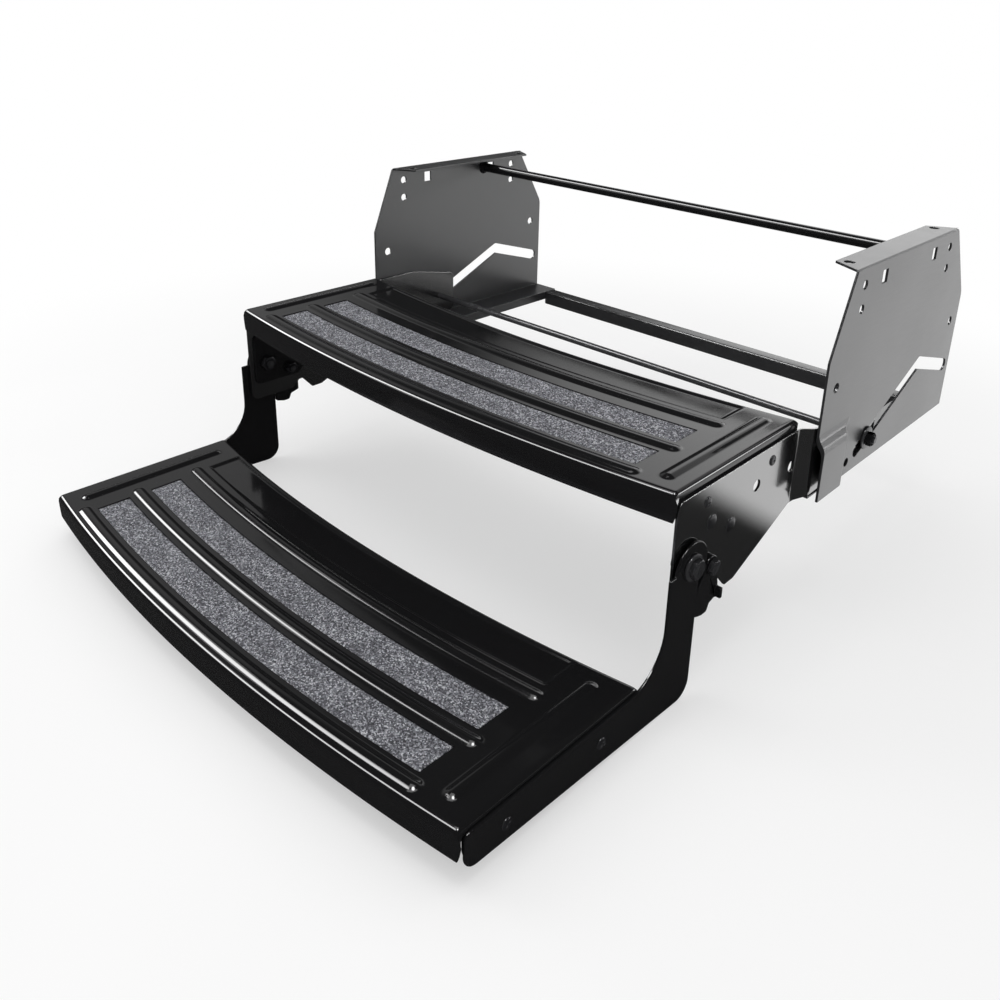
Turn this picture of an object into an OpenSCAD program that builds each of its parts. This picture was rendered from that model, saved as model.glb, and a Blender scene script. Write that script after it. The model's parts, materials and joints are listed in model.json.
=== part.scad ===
// Two-tread pull-out step that hangs under a doorway.
// X runs across the step, +Y to the rear, +Z up. The origin is the middle of
// the four bolt holes in the top flanges, on the plane that meets the chassis.

/* [Hanger frame] */
// Width over the outer faces of the two hanger plates
frame_w = 638; // [620:1:700]
// Sheet thickness of the hanger plates
frame_t = 2.5; // [2:0.1:3]
// Length of the plates' top edge
top_len = 240; // [220:1:280]
// Height of the hanger plates
frame_h = 216; // [210:1:240]
// Reach of the plates forward of the top edge
front_reach = 32; // [20:1:40]
// Reach of the plates behind the top edge
rear_reach = 48; // [40:1:70]
// Depth at which the slanted front and rear corners end
corner_drop = 80; // [60:1:90]
// Rounding of the plate's front corner
plate_front_r = 6; // [3:1:15]
// Rounding of the plate's rear corner
plate_rear_r = 20; // [5:1:30]
// Rounding of the plate's upper rear corner
plate_top_r = 8; // [3:1:12]
// Width of the inward top flange
top_flange_w = 30; // [26:1:40]
// Chamfer at the ends of the top flange
flange_chamfer = 15; // [5:1:20]
// Width of the inward bottom flange
bottom_flange_w = 38; // [25:1:45]
// Height of the lip turned down from the bottom flange
lip_h = 12; // [6:1:20]
// Outward depth of the pressed pocket at the lower front corner
pocket_depth = 7.5; // [5:0.5:10]
// Length of the pocket along the bottom edge
pocket_len = 62; // [50:1:66]
// Height of the pocket
pocket_h = 66; // [50:1:70]
// Run of the pocket's sloping walls
pocket_slope = 10; // [6:1:14]

/* [Mounting holes] */
// Setback of the flange bolt holes from the plate's outer face
bolt_inset = 19; // [16:0.5:22]
// Setback of the flange bolt holes from the ends of the top edge
bolt_end = 20; // [17:1:45]
// Diameter of the flange bolt holes
bolt_hole_d = 10; // [6:0.5:12]
// Setback of the side hole pairs from the ends of the top edge
side_end = 18; // [15:1:30]
// Height between the two holes of a side pair
side_span_z = 23; // [15:1:28]
// Depth of the upper side holes below the top
side_drop = 17; // [14:1:24]
// Diameter of the side holes
side_hole_d = 9; // [6:0.5:10]
// Setback of the square holes from the ends of the top edge
square_end = 60; // [45:1:80]
// Width of the square holes
square_w = 11; // [8:0.5:14]
// Height of the square holes
square_h = 13; // [8:0.5:16]
// Depth of the two mid-height holes below the top
mid_drop = 109; // [100:1:115]
// Setback of the mid-height holes from the plate's front and rear edges
mid_inset = 21; // [16:1:26]
// Diameter of the mid-height holes
mid_hole_d = 10; // [6:0.5:12]
// Diameter of the drain hole beside the pocket
drain_d = 9; // [5:0.5:10]

/* [Guide slot] */
// Width of the guide slot
slot_w = 14; // [12:0.5:16]
// Angle of the slot's front run above the level
slot_angle = 23.5; // [20:0.5:26]
// Distance of the slot's bend behind the plate's front edge
slot_bend_back = 224; // [215:1:230]
// Height of the slot's bend above the plate's bottom edge
slot_bend_up = 77; // [74:1:84]
// Distance from the centre of the slot's rear end to the plate's rear edge
slot_rear_room = 15.5; // [14:0.5:40]
// Angle at which the rear run falls
slot_rear_fall = 16.5; // [10:0.5:20]
// Length of slot left in front of the guide rod at rest
slot_spare = 20; // [5:1:24]

/* [Frame cross members] */
// Diameter of the top cross rod
top_rod_d = 12; // [8:0.5:16]
// Height of the weld bead round the ends of the top cross rod
weld_h = 4; // [2:0.5:6]
// Position of the top cross rod behind the middle
top_rod_y = 46; // [30:1:50]
// Depth of the top cross rod below the top
top_rod_drop = 16; // [12:0.5:18]
// Width of the square rear cross bar
rear_bar_w = 20; // [15:1:25]
// Wall of the rear cross bar
rear_bar_wall = 2; // [1.5:0.1:3]
// Setback of the rear cross bar from the plate's rear edge
rear_bar_inset = 3; // [0:1:20]

/* [Treads] */
// Room between a carriage bracket and the hanger plate beside it
side_room = 11.5; // [9:0.5:20]
// Depth of each tread from front to rear
tread_depth = 193; // [185:1:200]
// Sheet thickness of the treads
tread_t = 2; // [1.5:0.1:2.5]
// Radius of the bow of the tread edges, seen from above
bow_r = 2125; // [1800:5:2600]
// Outer radius of the tread's front and rear bends
tread_bend = 5; // [4.5:0.5:6]
// Outer radius of the bends along the tread's sides
side_bend = 4; // [3:0.5:4]
// Depth of the upper tread below the mounting plane
upper_drop = 135; // [130:1:138]
// Height between the two treads
rise = 156; // [150:1:180]
// Reach of the upper tread ahead of the hanger plates
upper_reach = 228; // [220:1:240]
// Distance of the lower tread's front edge ahead of the upper tread's
going = 232; // [225:1:240]
// Height of the tread's front skirt
skirt_h = 26; // [18:1:28]
// Height of the tread's rear skirt
rear_skirt_h = 18; // [10:1:24]
// Height of the tread's side flanges
side_flange_h = 34; // [30:1:38]

/* [Tread pressing] */
// Width of the grit strips
strip_w = 33; // [20:1:36]
// Setback of the grit strips' ends from the tread's sides
strip_inset = 55; // [52:1:80]
// Thickness of the grit strips
strip_t = 1.4; // [0.8:0.1:1.6]
// Depth of the recess for a grit strip
recess_depth = 1.6; // [1:0.1:2]
// Distance of the front grit strip's middle behind the front edge
front_strip_at = 41; // [38:1:43]
// Distance of the rear grit strip's middle behind the front edge
rear_strip_at = 98; // [96:1:100]
// Half width of the pressed beads
bead_half = 6; // [4:0.5:7]
// Height of the pressed beads
bead_h = 2.5; // [1.5:0.1:3]
// Distance of the front bead behind the front edge
front_bead_at = 13; // [12:1:14]
// Distance of the middle bead behind the front edge
middle_bead_at = 69.5; // [69:0.5:70]
// Distance of the rear bead behind the front edge
rear_bead_at = 136; // [130:1:140]
// Setback of the curved beads' ends from the tread's sides
bead_inset = 49; // [44:1:80]
// Setback of the straight side beads from the tread's sides
side_bead_in = 24; // [20:1:28]
// Setback of the side beads' ends from the tread's front and rear edges
side_bead_end = 24; // [15:1:40]
// Width of the shallow recess along the tread's rear
rear_recess_w = 30; // [15:1:34]

/* [Carriage brackets] */
// Sheet thickness of the brackets
bracket_t = 2.5; // [2:0.1:3]
// Drop of the bracket's top edge below the tread
bracket_top = 9; // [7:1:12]
// Drop of the bracket's front lower corner below the tread
bracket_drop = 117; // [110:1:122]
// Distance of the bracket's rear lower corner ahead of the hanger plates
bracket_toe = 104; // [100:1:110]
// Rounding of the bracket's upper front corner
bracket_corner_r = 8; // [3:1:12]
// Chamfer of the bracket's lower front corner
bracket_chamfer = 6; // [3:1:10]
// Height of the notch in the bracket's lower edge
notch_h = 9; // [5:1:12]
// Width of the notch's slanted front side
notch_run = 10; // [6:1:12]
// Width of the notch's flat top
notch_flat = 5; // [3:1:8]
// Distance from the notch's rear side to the rear lower corner
toe_w = 14; // [10:1:18]
// Diameter of the two spare holes in each bracket
spare_d = 11; // [6:0.5:12]
// Distances of the spare holes ahead of the hanger plates
spare_ahead = [19, 81]; // [10:1:100]
// Drops of the spare holes below the upper tread
spare_drop = [44, 40]; // [30:1:60]
// Gap between the slide arm and the hanger plate
slide_gap = 0.5; // [0.3:0.1:1]
// Gap between the slide arm and the bottom flange it rests over
ride_gap = 0.3; // [0.2:0.1:0.6]
// Distance from the plate's front edge back to the guide rod
guide_back = 110; // [104:1:116]
// Length of the slide arm behind the guide rod
arm_tail = 26; // [16:1:34]
// Drop of the slide arm's top edge at its rear end
arm_taper = 15; // [5:1:22]

/* [Guide rod] */
// Diameter of the guide rod
guide_d = 8; // [6:0.5:10]
// Clearance of the guide roller in the slot, each side
roller_gap = 0.3; // [0.2:0.05:0.6]
// Diameter of the outer guide washers
guide_washer_d = 24; // [20:1:30]
// Thickness of the washers
washer_t = 1.8; // [1.2:0.1:2.5]

/* [Lower arms] */
// Sheet thickness of the lower arms
arm_t = 2.5; // [2:0.1:3]
// Gap left between the treads when the lower one is folded over
fold_gap = 10; // [8:0.5:14]
// Distance of the pivot behind the upper tread's front edge
pivot_back = 46; // [44:1:50]
// Diameter of the pivot bolt
pivot_d = 10; // [8:0.5:12]
// Radius of the arm's round head
head_r = 22; // [18:0.5:24]
// Width of the upright part of the arm
arm_w = 42; // [36:1:46]
// Distance of the arm's rear edge behind the pivot
arm_rear = 12; // [10:1:14]
// Height of the arm's side plate at its front end
side_front_h = 32; // [28:1:36]
// Height of the arm's side plate at its rear end
side_rear_h = 45; // [38:1:50]
// Radius of the hollow curve where the arm leaves the tread
arm_sweep = 42; // [25:1:48]
// Rounding of the side plate's upper front corner
arm_front_r = 6; // [3:1:8]
// Rounding of the side plate's lower front corner
arm_toe_r = 12; // [6:1:16]
// Rounding of the side plate's lower rear corner
arm_heel_r = 16; // [8:1:18]
// Outer diameter of the bush in the arm, in bolt diameters
bush_ratio = 1.4; // [1.3:0.05:1.6]
// Slit between the front skirt and the arm's front end
arm_slit = 3; // [1:0.5:5]
// Running clearance of the hinge bores, on the radius
run_gap = 0.05; // [0.02:0.01:0.1]

/* [Latch levers] */
// Thickness of the latch levers
lever_t = 3.6; // [2.5:0.1:4]
// Distance of the lever's bolt behind the pivot
lever_back = 31; // [30:1:34]
// Drop of the lever's bolt below the pivot
lever_drop = 14; // [12:1:18]
// Diameter of the lever's bolt
lever_bolt_d = 8; // [6:0.5:9]
// Length of the lever below its bolt
lever_len = 45; // [36:1:48]
// Half width of the lever at its bolt
lever_half = 8; // [6:0.5:9]
// Reach of the lever behind its bolt
lever_rear = 14; // [11:0.5:16]
// Height of the step in the lever's lower end
lever_step = 7; // [4:0.5:10]
// Rounding of the lever's corners
lever_r = 3; // [1:0.5:3]
// Height of the thumb tab on the lever
tab_h = 10; // [6:1:14]
// Outward reach of the thumb tab
tab_reach = 9; // [6:0.5:9.5]
// Gap between the lever's nose and the arm
lever_gap = 0.5; // [0.4:0.1:1]

/* [Fasteners] */
// Diameter of the tread rivets
rivet_d = 5; // [4:0.5:6]
// Distance of the front rivets behind the tread's front corners
rivet_inset = 45; // [35:1:55]
// Height of a low rivet or bolt head
low_head = 1.5; // [1:0.1:1.6]
// Diameter of the doubler bolts
doubler_bolt_d = 6; // [5:0.5:8]
// Height of a nut
nut_h = 6.5; // [5:0.5:8]
// Height of a bolt head
bolt_head_h = 5; // [4:0.5:5.5]
// Width of a nut or bolt head across its corners, in bolt diameters
hex_ratio = 1.85; // [1.7:0.05:2]
// Width of a low head or a washer, in bolt diameters
washer_ratio = 2.4; // [2:0.1:2.4]
// Length of a bolt that stands out of its nut
bolt_proud = 2; // [0.5:0.5:4]
// Distance of the front doubler bolt behind the pivot
doubler_bolt_back = 30; // [26:1:34]
// Distance from the front doubler bolt back to the rear one
doubler_bolt_step = 32; // [26:1:36]
// Drop of the front doubler bolt below the doubler's top edge
doubler_bolt_drop = 10; // [9:1:14]
// Drop of the rear doubler bolt below the front one
doubler_bolt_fall = 16; // [10:1:20]
// Edge left round the holes in a doubler plate
doubler_edge = 11; // [10:0.5:13]
// Thickness of the doubler plates inside the brackets
doubler_t = 2.5; // [2:0.1:3]

/* [Hidden] */
$fn = 48;
seat = 0.1;
hole_gap = 0.1;
overcut = 2;
half_w = frame_w / 2;
frame_in = half_w - frame_t;
bolt_span_y = top_len - 2 * bolt_end;
side_span_y = top_len - 2 * side_end;
square_span_y = top_len - 2 * square_end;
front_y = -top_len / 2 - front_reach;
rear_y = top_len / 2 + rear_reach;
flange_top = -frame_h + frame_t;
lip_in = frame_in - bottom_flange_w;

bend_y = front_y + slot_bend_back;
slot_bend_drop = frame_h - slot_bend_up;
slot_rear_run = (rear_y - slot_rear_room - bend_y) / cos(slot_rear_fall);
guide_y = front_y + guide_back;
guide_z = -slot_bend_drop - (bend_y - guide_y) * tan(slot_angle);
slot_dir = [cos(slot_angle), sin(slot_angle)];

upper_z = -upper_drop;
lower_z = upper_z - rise;
upper_y = front_y - upper_reach;
lower_y = upper_y - going;
bracket_x = frame_in - side_room;
strip_half = bracket_x - strip_inset;
bead_end = bracket_x - bead_inset;
side_bead_x = bracket_x - side_bead_in;
pivot_y = upper_y + pivot_back;
pivot_z = (upper_z + lower_z + fold_gap) / 2;
arm_gap = 0.2;
arm_x = bracket_x + washer_t + arm_gap;
lower_half = arm_x + arm_t;
slide_x = frame_in - slide_gap;
rivet_drop = side_flange_h - 2 * rivet_d;
strip_gap = 0.4;
ear_inset = 0.3;
bow_fn = 720;
cap_swell = 0.2;
bead_r = (bead_half * bead_half + bead_h * bead_h) / (2 * bead_h);
lever_y = pivot_y + lever_back;
lever_z = pivot_z - lever_drop;
doubler_top = upper_z - side_flange_h - overcut;
doubler_x = bracket_x - bracket_t - doubler_t;
doubler_front = [pivot_y + doubler_bolt_back, doubler_top - doubler_bolt_drop];
doubler_bolts = [doubler_front, doubler_front + [doubler_bolt_step, -doubler_bolt_fall]];
roller_end = half_w + roller_gap;
pivot_washer_x = lower_half + arm_gap;
pivot_head_x = pivot_washer_x + washer_t;
lever_x = bracket_x + 2 * arm_gap;
lever_head_x = lever_x + lever_t + arm_gap;

// Drop of a bowed edge from its middle out to a distance across the step
function bow(x, d = 0) = (bow_r - d) - sqrt(pow(bow_r - d, 2) - x * x);

function unit(v) = v / norm(v);

// Corner points of an outline, each [y, z, radius], turned into a path with round corners
function rounded(corners, steps = 6) = [
    for (i = [0 : len(corners) - 1])
        let (
            n = len(corners),
            p = [corners[i][0], corners[i][1]],
            before = corners[(i + n - 1) % n],
            after = corners[(i + 1) % n],
            u = unit([before[0], before[1]] - p),
            v = unit([after[0], after[1]] - p),
            r = corners[i][2],
            half = acos(u * v) / 2
        )
        if (r == 0) p
        else
            let (
                c = p + unit(u + v) * r / sin(half),
                a = p + u * r / tan(half) - c,
                start = atan2(a[1], a[0]),
                turn = (u[0] * v[1] - u[1] * v[0] > 0 ? -1 : 1) * (180 - 2 * half)
            )
            for (k = [0 : steps]) c + r * [cos(start + turn * k / steps), sin(start + turn * k / steps)]
];

// Stands a side outline, drawn as [y, z], up between two distances across the step
module across(x0, x1) {
    translate([x0, 0, 0])
        rotate([90, 0, 90])
            linear_extrude(x1 - x0)
                children();
}

// Round pin or hole along X at [y, z]
module cross_pin(x0, x1, y, z, d) {
    translate([x0, y, z])
        rotate([0, 90, 0])
            cylinder(h = x1 - x0, d = d);
}

// Both sides of the step
module pair() {
    children();
    mirror([1, 0, 0]) children();
}

// One straight run of the guide slot between two points
module slot_run(p, q, w) {
    d = q - p;
    translate(p)
        rotate(atan2(d[1], d[0])) {
            translate([0, -w / 2]) square([norm(d), w]);
            circle(d = w);
            translate([norm(d), 0]) circle(d = w);
        }
}

module guide_slot() {
    bend = [bend_y, -slot_bend_drop];
    low = [guide_y, guide_z] - slot_spare * slot_dir;
    rear = bend + slot_rear_run * [cos(slot_rear_fall), -sin(slot_rear_fall)];
    slot_run(low, bend, slot_w);
    slot_run(bend, rear, slot_w);
}

module plate_outline() {
    polygon(rounded([
        [-top_len / 2, 0, 0], [front_y, -corner_drop, plate_front_r], [front_y, -frame_h, 0],
        [rear_y, -frame_h, 0], [rear_y, -corner_drop, plate_rear_r], [top_len / 2, 0, plate_top_r]
    ]));
}

// Block with sloping top and rear walls, grown outward from the plate by depth
module pocket_block(x0, depth, inset) {
    x1 = x0 + depth;
    top = -frame_h + pocket_h - inset;
    back = front_y + pocket_len - inset;
    run = pocket_slope * depth / pocket_depth;
    intersection() {
        translate([0, front_y - overcut, 0])
            rotate([90, 0, 0])
                mirror([0, 0, 1])
                    linear_extrude(pocket_len + 2 * overcut)
                        polygon([
                            [x0, -frame_h - overcut], [x1, -frame_h - overcut],
                            [x1, top - run], [x0, top]
                        ]);
        translate([0, 0, -frame_h - overcut])
            linear_extrude(pocket_h + 2 * overcut)
                polygon([[x0, front_y - overcut], [x1, front_y - overcut], [x1, back - run], [x0, back]]);
    }
}

module pocket_shell() {
    intersection() {
        difference() {
            pocket_block(half_w - frame_t, pocket_depth + frame_t, 0);
            pocket_block(frame_in - frame_t, pocket_depth + frame_t, 2 * frame_t);
        }
        translate([frame_in, front_y, -frame_h])
            cube([pocket_depth + 2 * frame_t, pocket_len, pocket_h]);
    }
}

module top_flange() {
    difference() {
        translate([0, 0, -frame_t])
            linear_extrude(frame_t)
                polygon([
                    [frame_in, -top_len / 2], [frame_in, top_len / 2],
                    [half_w - top_flange_w, top_len / 2 - flange_chamfer],
                    [half_w - top_flange_w, -top_len / 2 + flange_chamfer]
                ]);
        for (s = [-1, 1])
            translate([half_w - bolt_inset, s * bolt_span_y / 2, -frame_t - overcut])
                cylinder(h = frame_t + 2 * overcut, d = bolt_hole_d);
    }
}

module bottom_flange() {
    run = rear_y - front_y;
    translate([lip_in, front_y, -frame_h]) cube([bottom_flange_w, run, frame_t]);
    translate([lip_in, front_y, -frame_h - lip_h + frame_t]) cube([frame_t, run, lip_h - frame_t]);
}

module hanger_plate() {
    inside = frame_in - overcut;
    outside = half_w + overcut;
    difference() {
        union() {
            difference() {
                across(frame_in, half_w) plate_outline();
                pocket_block(frame_in - frame_t, pocket_depth + frame_t, 2 * frame_t);
            }
            pocket_shell();
        }
        across(inside, outside) {
            guide_slot();
            for (s = [-1, 1])
                translate([s * square_span_y / 2 - square_w / 2, -side_drop - square_h / 2])
                    square([square_w, square_h]);
        }
        for (s = [-1, 1], k = [0, 1])
            cross_pin(inside, outside, s * side_span_y / 2, -side_drop - k * side_span_z, side_hole_d);
        for (y = [front_y + mid_inset, rear_y - mid_inset])
            cross_pin(inside, outside, y, -mid_drop, mid_hole_d);
        cross_pin(inside, outside, front_y + pocket_len + drain_d, -frame_h + 1.5 * drain_d, drain_d);
    }
    top_flange();
    bottom_flange();
}

module left_hanger_plate() {
    color("dimgray") mirror([1, 0, 0]) hanger_plate();
}

module right_hanger_plate() {
    color("dimgray") hanger_plate();
}

// Round tie between the plates, with a weld bead at each end
module top_cross_rod() {
    color([0.12, 0.12, 0.13]) {
        cross_pin(-frame_in, frame_in, top_rod_y, -top_rod_drop, top_rod_d);
        pair()
            translate([frame_in, top_rod_y, -top_rod_drop])
                rotate([0, -90, 0])
                    cylinder(h = weld_h, r1 = top_rod_d / 2 + weld_h * 0.8, r2 = top_rod_d / 2);
    }
}

// Square tube between the lips of the bottom flanges
module rear_cross_bar() {
    inner = rear_bar_w - 2 * rear_bar_wall;
    color([0.1, 0.1, 0.11])
        translate([0, rear_y - rear_bar_inset - rear_bar_w / 2, flange_top - rear_bar_w / 2])
            difference() {
                cube([2 * lip_in, rear_bar_w, rear_bar_w], center = true);
                cube([2 * lip_in + overcut, inner, inner], center = true);
            }
}

// Profile swept along the tread's bow, out to a half width at a distance behind the
// front edge. The outline is drawn with x as minus that distance and y as height
module bowed(half, d) {
    sweep = asin(half / (bow_r - d));
    translate([0, bow_r, 0])
        rotate([0, 0, 270 - sweep])
            rotate_extrude(angle = 2 * sweep, $fn = bow_fn)
                translate([bow_r, 0])
                    children();
}

// Flat sheet between two distances behind the bowed front edge, out to a half width
module bowed_sheet(d0, d1, half, z0, z1) {
    reach = d1 + bow(half, d1) + overcut;
    translate([0, 0, z0])
        linear_extrude(z1 - z0)
            intersection() {
                translate([0, bow_r])
                    difference() {
                        circle(r = bow_r - d0, $fn = bow_fn);
                        circle(r = bow_r - d1, $fn = bow_fn);
                    }
                translate([-half, d0 - overcut]) square([2 * half, reach - d0 + overcut]);
            }
}

// Upright rectangle with round top corners, its top edge at y = 0
module arch(w, h, r) {
    translate([-w / 2, -h]) square([w, h - r]);
    translate([r - w / 2, -r]) square([w - 2 * r, r]);
    for (s = [-1, 1]) translate([s * (w / 2 - r), -r]) circle(r = r);
}

// Block of the tread's outer shape, or of its hollow when shrunk by the sheet's thickness
module pan_block(outer, shrink, h) {
    intersection() {
        bowed(outer + tread_depth / 3, tread_depth)
            translate([-tread_depth / 2, -shrink])
                arch(tread_depth - 2 * shrink, h, tread_bend - shrink);
        translate([0, -overcut, -shrink])
            rotate([90, 0, 0])
                mirror([0, 0, 1])
                    linear_extrude(2 * tread_depth)
                        arch(2 * (outer - shrink), h - overcut / 4, side_bend - shrink);
    }
}

// Rounded pan of sheet, open below, with its front and rear skirts trimmed to their heights
module pan_shell(outer) {
    low = -side_flange_h - 2 * overcut;
    difference() {
        pan_block(outer, 0, side_flange_h + overcut);
        pan_block(outer, tread_t, side_flange_h + 2 * overcut);
        translate([-outer - overcut, -overcut, low])
            cube([2 * outer + 2 * overcut, 2 * tread_depth, 2 * overcut]);
        bowed_sheet(-overcut, tread_bend, outer + overcut, low, -skirt_h);
        bowed_sheet(tread_depth - tread_bend, tread_depth + overcut, outer + overcut, low, -rear_skirt_h);
    }
}

module bead_profile(at) {
    intersection() {
        translate([-at, bead_h - bead_r]) circle(r = bead_r);
        translate([-at - bead_r, -tread_t / 2]) square([2 * bead_r, tread_t / 2 + 2 * bead_h]);
    }
}

// Dome that ends a bead, standing on the tread at a place across and behind the front edge
module bead_cap(x, y) {
    intersection() {
        translate([x, y, bead_h - bead_r]) rotate([90, 0, 0]) sphere(r = bead_r + cap_swell);
        translate([x - bead_r, y - bead_r, -tread_t / 2])
            cube([2 * bead_r, 2 * bead_r, tread_t / 2 + 2 * bead_h]);
    }
}

module curved_bead(at) {
    bowed(bead_end, at) bead_profile(at);
    pair() bead_cap(bead_end, at + bow(bead_end, at));
}

module side_bead() {
    front = side_bead_end + bow(side_bead_x);
    rear = tread_depth + bow(side_bead_x, tread_depth) - side_bead_end;
    intersection() {
        translate([side_bead_x, front, bead_h - bead_r])
            rotate([-90, 0, 0])
                cylinder(h = rear - front, r = bead_r);
        translate([side_bead_x - bead_r, front - bead_r, -tread_t / 2])
            cube([2 * bead_r, rear - front + 2 * bead_r, tread_t / 2 + 2 * bead_h]);
    }
    for (y = [front, rear]) bead_cap(side_bead_x, y);
}

// Floor of a pressed recess, hanging below the tread's sheet
module recess_floor(at, w) {
    reach = w / 2 + tread_t;
    bowed_sheet(at - reach, at + reach, strip_half + tread_t, -recess_depth - tread_t, -tread_t / 2);
}

module recess_cut(at, w) {
    bowed_sheet(at - w / 2, at + w / 2, strip_half, -recess_depth, bead_h);
}

// Pressed pan of one tread, front edge through the origin; outer is the outside
// of its side flanges and wide is the half width of the front skirt
module tread_pan(outer, wide) {
    rear_recess_at = tread_depth - tread_bend - rear_recess_w / 2 - 2 * tread_t;
    recesses = [[front_strip_at, strip_w], [rear_strip_at, strip_w], [rear_recess_at, rear_recess_w]];
    difference() {
        union() {
            pan_shell(outer);
            bowed_sheet(ear_inset, tread_t - ear_inset, wide, -skirt_h + ear_inset, -tread_bend);
            for (r = recesses) recess_floor(r[0], r[1]);
        }
        for (r = recesses) recess_cut(r[0], r[1]);
        pair()
            for (y = rivet_ys())
                cross_pin(outer - tread_t - overcut, outer + overcut, y, -rivet_drop, rivet_d + 2 * hole_gap);
    }
    for (at = [front_bead_at, middle_bead_at, rear_bead_at]) curved_bead(at);
    pair() side_bead();
}

// Rivets through a side flange, measured behind the tread's front edge
function rivet_ys() = [bow(bracket_x) + rivet_inset, tread_depth - rivet_inset / 2];

module grit_strip(at) {
    color([0.42, 0.43, 0.45])
        bowed_sheet(
            at - strip_w / 2 + strip_gap, at + strip_w / 2 - strip_gap, strip_half - strip_gap,
            -recess_depth, strip_t - recess_depth
        );
}

module at_upper() {
    translate([0, upper_y, upper_z]) children();
}

module at_lower() {
    translate([0, lower_y, lower_z]) children();
}

// Low-headed rivets at both sides, seated on a plate's outer face at x
module tread_rivets(x, grip) {
    pair()
        for (y = rivet_ys()) {
            cross_pin(x - grip - low_head, x + seat, y, -rivet_drop, rivet_d);
            cross_pin(x, x + low_head, y, -rivet_drop, 2 * rivet_d);
            cross_pin(x - grip - low_head, x - grip, y, -rivet_drop, hex_ratio * rivet_d);
        }
}

module upper_tread() {
    color([0.05, 0.05, 0.055]) at_upper() tread_pan(bracket_x - bracket_t, bracket_x);
}

module upper_front_grit_strip() {
    at_upper() grit_strip(front_strip_at);
}

module upper_rear_grit_strip() {
    at_upper() grit_strip(rear_strip_at);
}

module upper_tread_rivets() {
    color([0.2, 0.2, 0.2]) at_upper() tread_rivets(bracket_x, bracket_t + tread_t);
}

// Side outline of the carriage bracket, with the slide arm that runs back inside the hanger plate
module bracket_outline() {
    top = upper_z - bracket_top;
    low = upper_z - bracket_drop;
    front = upper_y + bow(bracket_x) + tread_t + seat;
    arm_low = flange_top + ride_gap;
    toe_y = front_y - bracket_toe;
    slant = ride_gap * 2 / cos(slot_angle) - ride_gap;
    toe_z = arm_low + slant - bracket_toe * tan(slot_angle);
    tail = guide_y + arm_tail;
    notch_y = lever_y + lever_bolt_d / 2;
    notch_r = 2;
    polygon(rounded([
        [front, top, bracket_corner_r], [front, low + bracket_chamfer, 0],
        [front + bracket_chamfer, low, 0],
        [notch_y, low, notch_r], [notch_y + notch_run, low + notch_h, notch_r],
        [notch_y + notch_run + notch_flat, low + notch_h, notch_r],
        [toe_y - toe_w, toe_z - ride_gap, notch_r],
        [toe_y, toe_z, bracket_chamfer], [front_y - slant / tan(slot_angle), arm_low, 0],
        [tail, arm_low, bracket_corner_r], [tail, top - arm_taper, bracket_corner_r],
        [front_y + pocket_len, top, 0]
    ]));
}

// Plan of the bracket's sheet, which steps outward to run beside the hanger plate
module bracket_plan() {
    jog = slide_x - bracket_x;
    jog_angle = 45;
    y0 = front_y - jog / tan(jog_angle);
    lag = bracket_t * tan(jog_angle / 2);
    polygon([
        [bracket_x - bracket_t, upper_y], [bracket_x, upper_y], [bracket_x, y0], [slide_x, front_y],
        [slide_x, rear_y], [slide_x - bracket_t, rear_y], [slide_x - bracket_t, front_y + lag],
        [bracket_x - bracket_t, y0 + lag]
    ]);
}

module carriage_bracket() {
    inside = bracket_x - bracket_t - overcut;
    outside = slide_x + overcut;
    color([0.07, 0.07, 0.075])
        difference() {
            intersection() {
                across(inside, outside) bracket_outline();
                translate([0, 0, lower_z]) linear_extrude(rise) bracket_plan();
            }
            for (k = [0, 1])
                cross_pin(inside, outside, front_y - spare_ahead[k], upper_z - spare_drop[k], spare_d);
            for (y = rivet_ys())
                cross_pin(inside, outside, upper_y + y, upper_z - rivet_drop, rivet_d + 2 * hole_gap);
            for (b = doubler_bolts) cross_pin(inside, outside, b[0], b[1], doubler_bolt_d + 2 * hole_gap);
            cross_pin(inside, outside, guide_y, guide_z, guide_d + 2 * hole_gap);
            cross_pin(inside, outside, pivot_y, pivot_z, pivot_d + 2 * hole_gap);
            cross_pin(inside, outside, lever_y, lever_z, lever_bolt_d + 2 * hole_gap);
        }
}

module left_carriage_bracket() {
    mirror([1, 0, 0]) carriage_bracket();
}

module right_carriage_bracket() {
    carriage_bracket();
}

// Long rod through both slide arms and both guide slots
module guide_rod() {
    end = roller_end + washer_t + nut_h + bolt_proud;
    color([0.25, 0.25, 0.26]) cross_pin(-end, end, guide_y, guide_z, guide_d);
}

// Sleeves on the guide rod that run in the slots
module guide_rollers() {
    color([0.15, 0.15, 0.16])
        pair()
            difference() {
                cross_pin(slide_x, roller_end, guide_y, guide_z, slot_w - 2 * roller_gap);
                cross_pin(slide_x - overcut, roller_end + overcut, guide_y, guide_z, guide_d + 2 * hole_gap);
            }
}

module guide_washers() {
    color([0.15, 0.15, 0.16])
        pair()
            difference() {
                cross_pin(roller_end, roller_end + washer_t, guide_y, guide_z, guide_washer_d);
                cross_pin(slide_x, roller_end + washer_t + overcut, guide_y, guide_z, guide_d + 2 * hole_gap);
            }
}

// Hexagon nut along X, bored to clear its bolt
module hex_nut(x, y, z, bolt_d, h) {
    difference() {
        translate([x, y, z])
            rotate([0, 90, 0])
                cylinder(h = h, d = hex_ratio * bolt_d, $fn = 6);
        cross_pin(x - overcut, x + h + overcut, y, z, bolt_d + 2 * hole_gap);
    }
}

module guide_nuts() {
    color([0.15, 0.15, 0.16])
        pair() {
            hex_nut(roller_end + washer_t, guide_y, guide_z, guide_d, nut_h);
            hex_nut(slide_x - bracket_t - nut_h / 2, guide_y, guide_z, guide_d, nut_h / 2);
        }
}

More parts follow.
